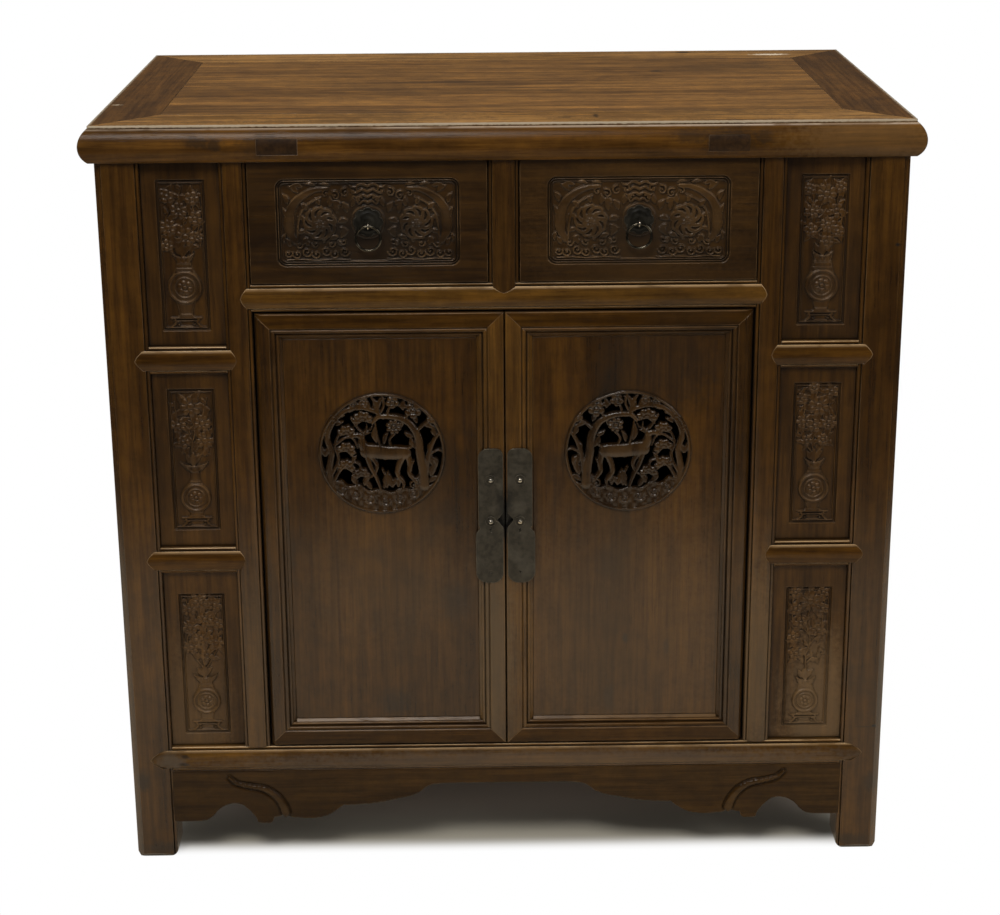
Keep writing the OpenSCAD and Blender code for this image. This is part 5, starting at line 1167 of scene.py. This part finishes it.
def rocks(work, top_line, r, height):
    """The ground, filled from an uneven line down to the rim, with cracks between its stones."""
    line = flowing(top_line)
    part, u, v = reach_of(work, -r, r, -r, 0)
    ridge = np.interp(u, line[:, 0], line[:, 1])
    cracks = np.abs(np.sin(0.23 * u + 1.4 * np.sin(0.19 * v + 0.05 * u)))
    cracks = cracks + np.abs(np.sin(0.31 * (v + 0.35 * u)))
    top = height * (0.84 + 0.06 * np.sin(0.5 * u) * np.sin(0.42 * v)) - 0.6 * np.exp(-((cracks / 0.3) ** 2))
    leave_standing(work, part, ridge - v, np.where(ridge - v < 2, height * 0.95, top))


def standing_deer(work, height):
    """The deer with its head raised: body, neck, head, antlers, ear, four thin legs and a short tail."""
    stem(work, [(-19, 3), (-8, 2.5), (6, 0.5), (20, 0.5), (29, 0)], 19, 17, height + 0.5)
    stem(work, [(-20, 4), (-25, 13), (-26, 22)], 14, 8, height + 0.4)
    stem(work, [(-26, 23), (-32, 25), (-38, 23)], 9, 4.5, height + 0.5)
    stem(work, [(-25, 26), (-19, 33), (-19, 40)], 2.8, 1.6, height)
    stem(work, [(-22, 30), (-14, 33), (-11, 39)], 2.4, 1.4, height)
    leaf(work, (-23, 26), 15, 10, 5, height)
    stem(work, [(-19, -4), (-15, -18), (-8, -33), (-2, -50)], 7.5, 3.4, height)
    stem(work, [(-13, -5), (-7, -16), (-9, -26), (-15, -32)], 6.5, 3.0, height - 0.4)
    stem(work, [(27, -4), (21, -18), (20, -30), (27, -40), (26, -50)], 9, 3.4, height)
    stem(work, [(33, -2), (36, -16), (35, -28), (42, -38), (44, -48)], 8.5, 3.4, height - 0.3)
    stem(work, [(33, 6), (38, 9), (39, 15)], 4.5, 2.0, height)


def slender_tree(work):
    """The thin tree at the deer's head, with fans of leaves beside it, bare twigs and a few flowers."""
    for at, size, heading in (((-24, 44), 14, 100), ((-45, 26), 13, 75), ((-46, 3), 13, 70),
                              ((-47, -20), 12.5, 80), ((-27, -31), 12, 95)):
        fan(work, at, size, heading, 3.2)
    trunk = [(-67, -42), (-68, -20), (-65, 2), (-70, 22), (-62, 42), (-46, 58), (-26, 62), (-8, 57), (0, 50)]
    stem(work, trunk, 9, 5, 3.4, groove=0.6)
    stem(work, [(-66, -30), (-56, -8), (-60, 12), (-50, 36)], 5, 3, 3.0)
    stem(work, [(-62, -36), (-54, -22), (-42, -12), (-30, -14), (-26, -28)], 5, 3, 3.0)
    stem(work, [(-60, 12), (-46, 22), (-36, 20), (-31, 8)], 4, 3, 3.0)
    stem(work, [(-38, 48), (-30, 34), (-24, 28)], 4, 3, 3.0)
    for at, size in (((-62, 47), 8), ((-72, 30), 6), ((-35, 66), 6.5)):
        blossom(work, at, size, 3.4)
    for at, heading, size in (((-70, 8), 250, 13), ((-69, -14), 250, 13), ((-53, 56), 120, 13),
                              ((-14, 60), 110, 15), ((-8, 56), 60, 20), ((-20, 62), 150, 14),
                              ((-58, 38), 30, 12)):
        leaf(work, at, heading, size, size * 0.5, 3.2)


def bent_tree(work):
    """The thick tree behind the deer, which bends over its back, with its branches and large flowers."""
    trunk = [(54, -44), (53, -26), (49, 0), (47, 20), (38, 38), (24, 47), (8, 50), (-4, 49), (-11, 42)]
    stem(work, trunk, 13, 5, 3.9, groove=0.5)
    stem(work, [(55, -36), (59, -8), (65, 12), (73, 26)], 8, 4, 3.5, groove=0.5)
    stem(work, [(61, -2), (72, 4), (78, 2)], 4, 3, 3.1)
    for branch, thick in (([(44, 28), (54, 38), (66, 46)], 5), ([(30, 46), (36, 54), (40, 58)], 4),
                          ([(8, 50), (10, 60), (16, 66)], 4)):
        stem(work, branch, thick, 3, 3.3)
    stem(work, [(-4, 50), (-4, 62), (-12, 76)], 5, 3, 3.3, groove=0.4)
    stem(work, [(0, 56), (4, 66), (2, 77)], 4, 3, 3.3)
    for at, size, petals in (((16, 36), 10.5, 8), ((41, 57), 11, 5), ((15, 69), 9, 5),
                             ((65, 47), 7.5, 5), ((57, -12), 4.5, 6), ((47, -36), 5, 6)):
        blossom(work, at, size, 3.9, petals=petals)
    for at, heading, size in (((22, 64), 350, 14), ((54, 40), 330, 15), ((70, 22), 100, 16),
                              ((60, 2), 60, 14), ((28, 58), 80, 15), ((34, 66), 30, 14),
                              ((-2, 62), 120, 15), ((66, -6), 290, 14), ((50, 12), 130, 12)):
        leaf(work, at, heading, size, size * 0.5, 3.3)


def undergrowth(work):
    """Shoots and leaves between the deer, the trees and the rim, and a row of scrolls along the ground."""
    stem(work, [(16, 26), (10, 18), (12, 10)], 4, 3, 3.4)
    stem(work, [(-2, 10), (-6, 26), (-8, 42)], 3.2, 2.2, 3.3)
    leaf(work, (-6, 14), 96, 24, 7, 3.4)
    leaf(work, (3, 12), 70, 18, 6, 3.3)
    stem(work, [(2, -46), (4, -32), (0, -22)], 4.5, 2.5, 3.0)
    leaf(work, (6, -48), 85, 24, 9, 3.2)
    leaf(work, (12, -46), 50, 16, 7, 3.1)
    leaf(work, (-24, -44), 60, 16, 8, 3.1)
    curl(work, (40, -44), 7, 0, 1.0, 3, 3.1)
    for at, heading, size in (((62, -32), 62, 22), ((60, -40), 30, 16), ((66, -18), 95, 16),
                              ((44, 6), 112, 18), ((41, 22), 150, 14), ((-71, -4), 112, 15),
                              ((-58, -2), 62, 14), ((14, -47), 104, 20), ((20, -47), 70, 15),
                              ((-14, -49), 112, 15), ((-32, -43), 112, 17), ((-42, 56), 30, 16),
                              ((-46, 52), 165, 14), ((-28, 62), 60, 14), ((-4, 70), 20, 12),
                              ((28, 44), 235, 13), ((-52, 8), 20, 13), ((-38, -12), 60, 12),
                              ((46, 40), 100, 14), ((36, -20), 60, 12), ((70, 34), 150, 12)):
        leaf(work, at, heading, size, size * 0.46, 3.0)
    blossom(work, (-22, 70), 7, 3.4)
    for k, at in enumerate(((-52, -50), (-35, -56), (-16, -62), (3, -65), (22, -62), (40, -55))):
        curl(work, at, 6.5, 200 - 180 * (k % 2), 1.15 - 2.3 * (k % 2), 2.6, 4.0)


roundel_wood = aged_wood("roundel_wood", "Z", (0.011, 0.0047, 0.0008, 1), (0.024, 0.0105, 0.0019, 1),
                         (0.085, 0.044, 0.0140, 1), lit=0.15, carved=0.3)
rock_line = [(-76, -30), (-66, -38), (-54, -36), (-44, -44), (-30, -42), (-18, -50), (-2, -49),
             (12, -53), (24, -47), (38, -49), (50, -40), (60, -44), (76, -34)]
roundel_step, rim, plug_in, tall, rounding = 0.7, 4.6, 5.2, 4.0, 1.3
for side, flip in (("left", 1), ("right", -1)):
    node = f"roundel_{side}"
    low, high = box_mm(node)
    r, plug_r, lift = (high[0] - low[0]) / 2, (high[0] - low[0]) / 2 - plug_in, high[1] - low[1] - tall
    axis = np.arange(-r - roundel_step, r + 2 * roundel_step, roundel_step)
    work = new_work(axis, axis)
    work["full"] = tall
    rocks(work, rock_line, r, 3.2)
    slender_tree(work)
    bent_tree(work)
    undergrowth(work)
    standing_deer(work, 3.5)
    uu, vv = np.meshgrid(axis, axis)
    d = np.hypot(uu, vv)
    bead = 3.0 * np.sqrt(np.clip(1 - ((d - r + 2.4) / 2.4) ** 2, 0, 1)) + 0.6
    leave_standing(work, (slice(None), slice(None)), d - (r - rim), np.minimum(bead, tall))
    work["inside"] = np.minimum(work["inside"], r - d)
    work["h"] = work["h"] - rounding * np.clip(1 - work["inside"] / rounding, 0, 1) ** 2
    carving = pierced_board(f"roundel_carving_{side}", work,
                            facing_front((low + high) / 2, low[1] + tall, flip),
                            lambda u, v: np.where(np.hypot(u, v) > plug_r, 0.0, lift))
    if flip < 0:
        carving.data.flip_normals()
    carving.data.materials.append(roundel_wood)
    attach(carving, f"{side}_door")
    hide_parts(node)
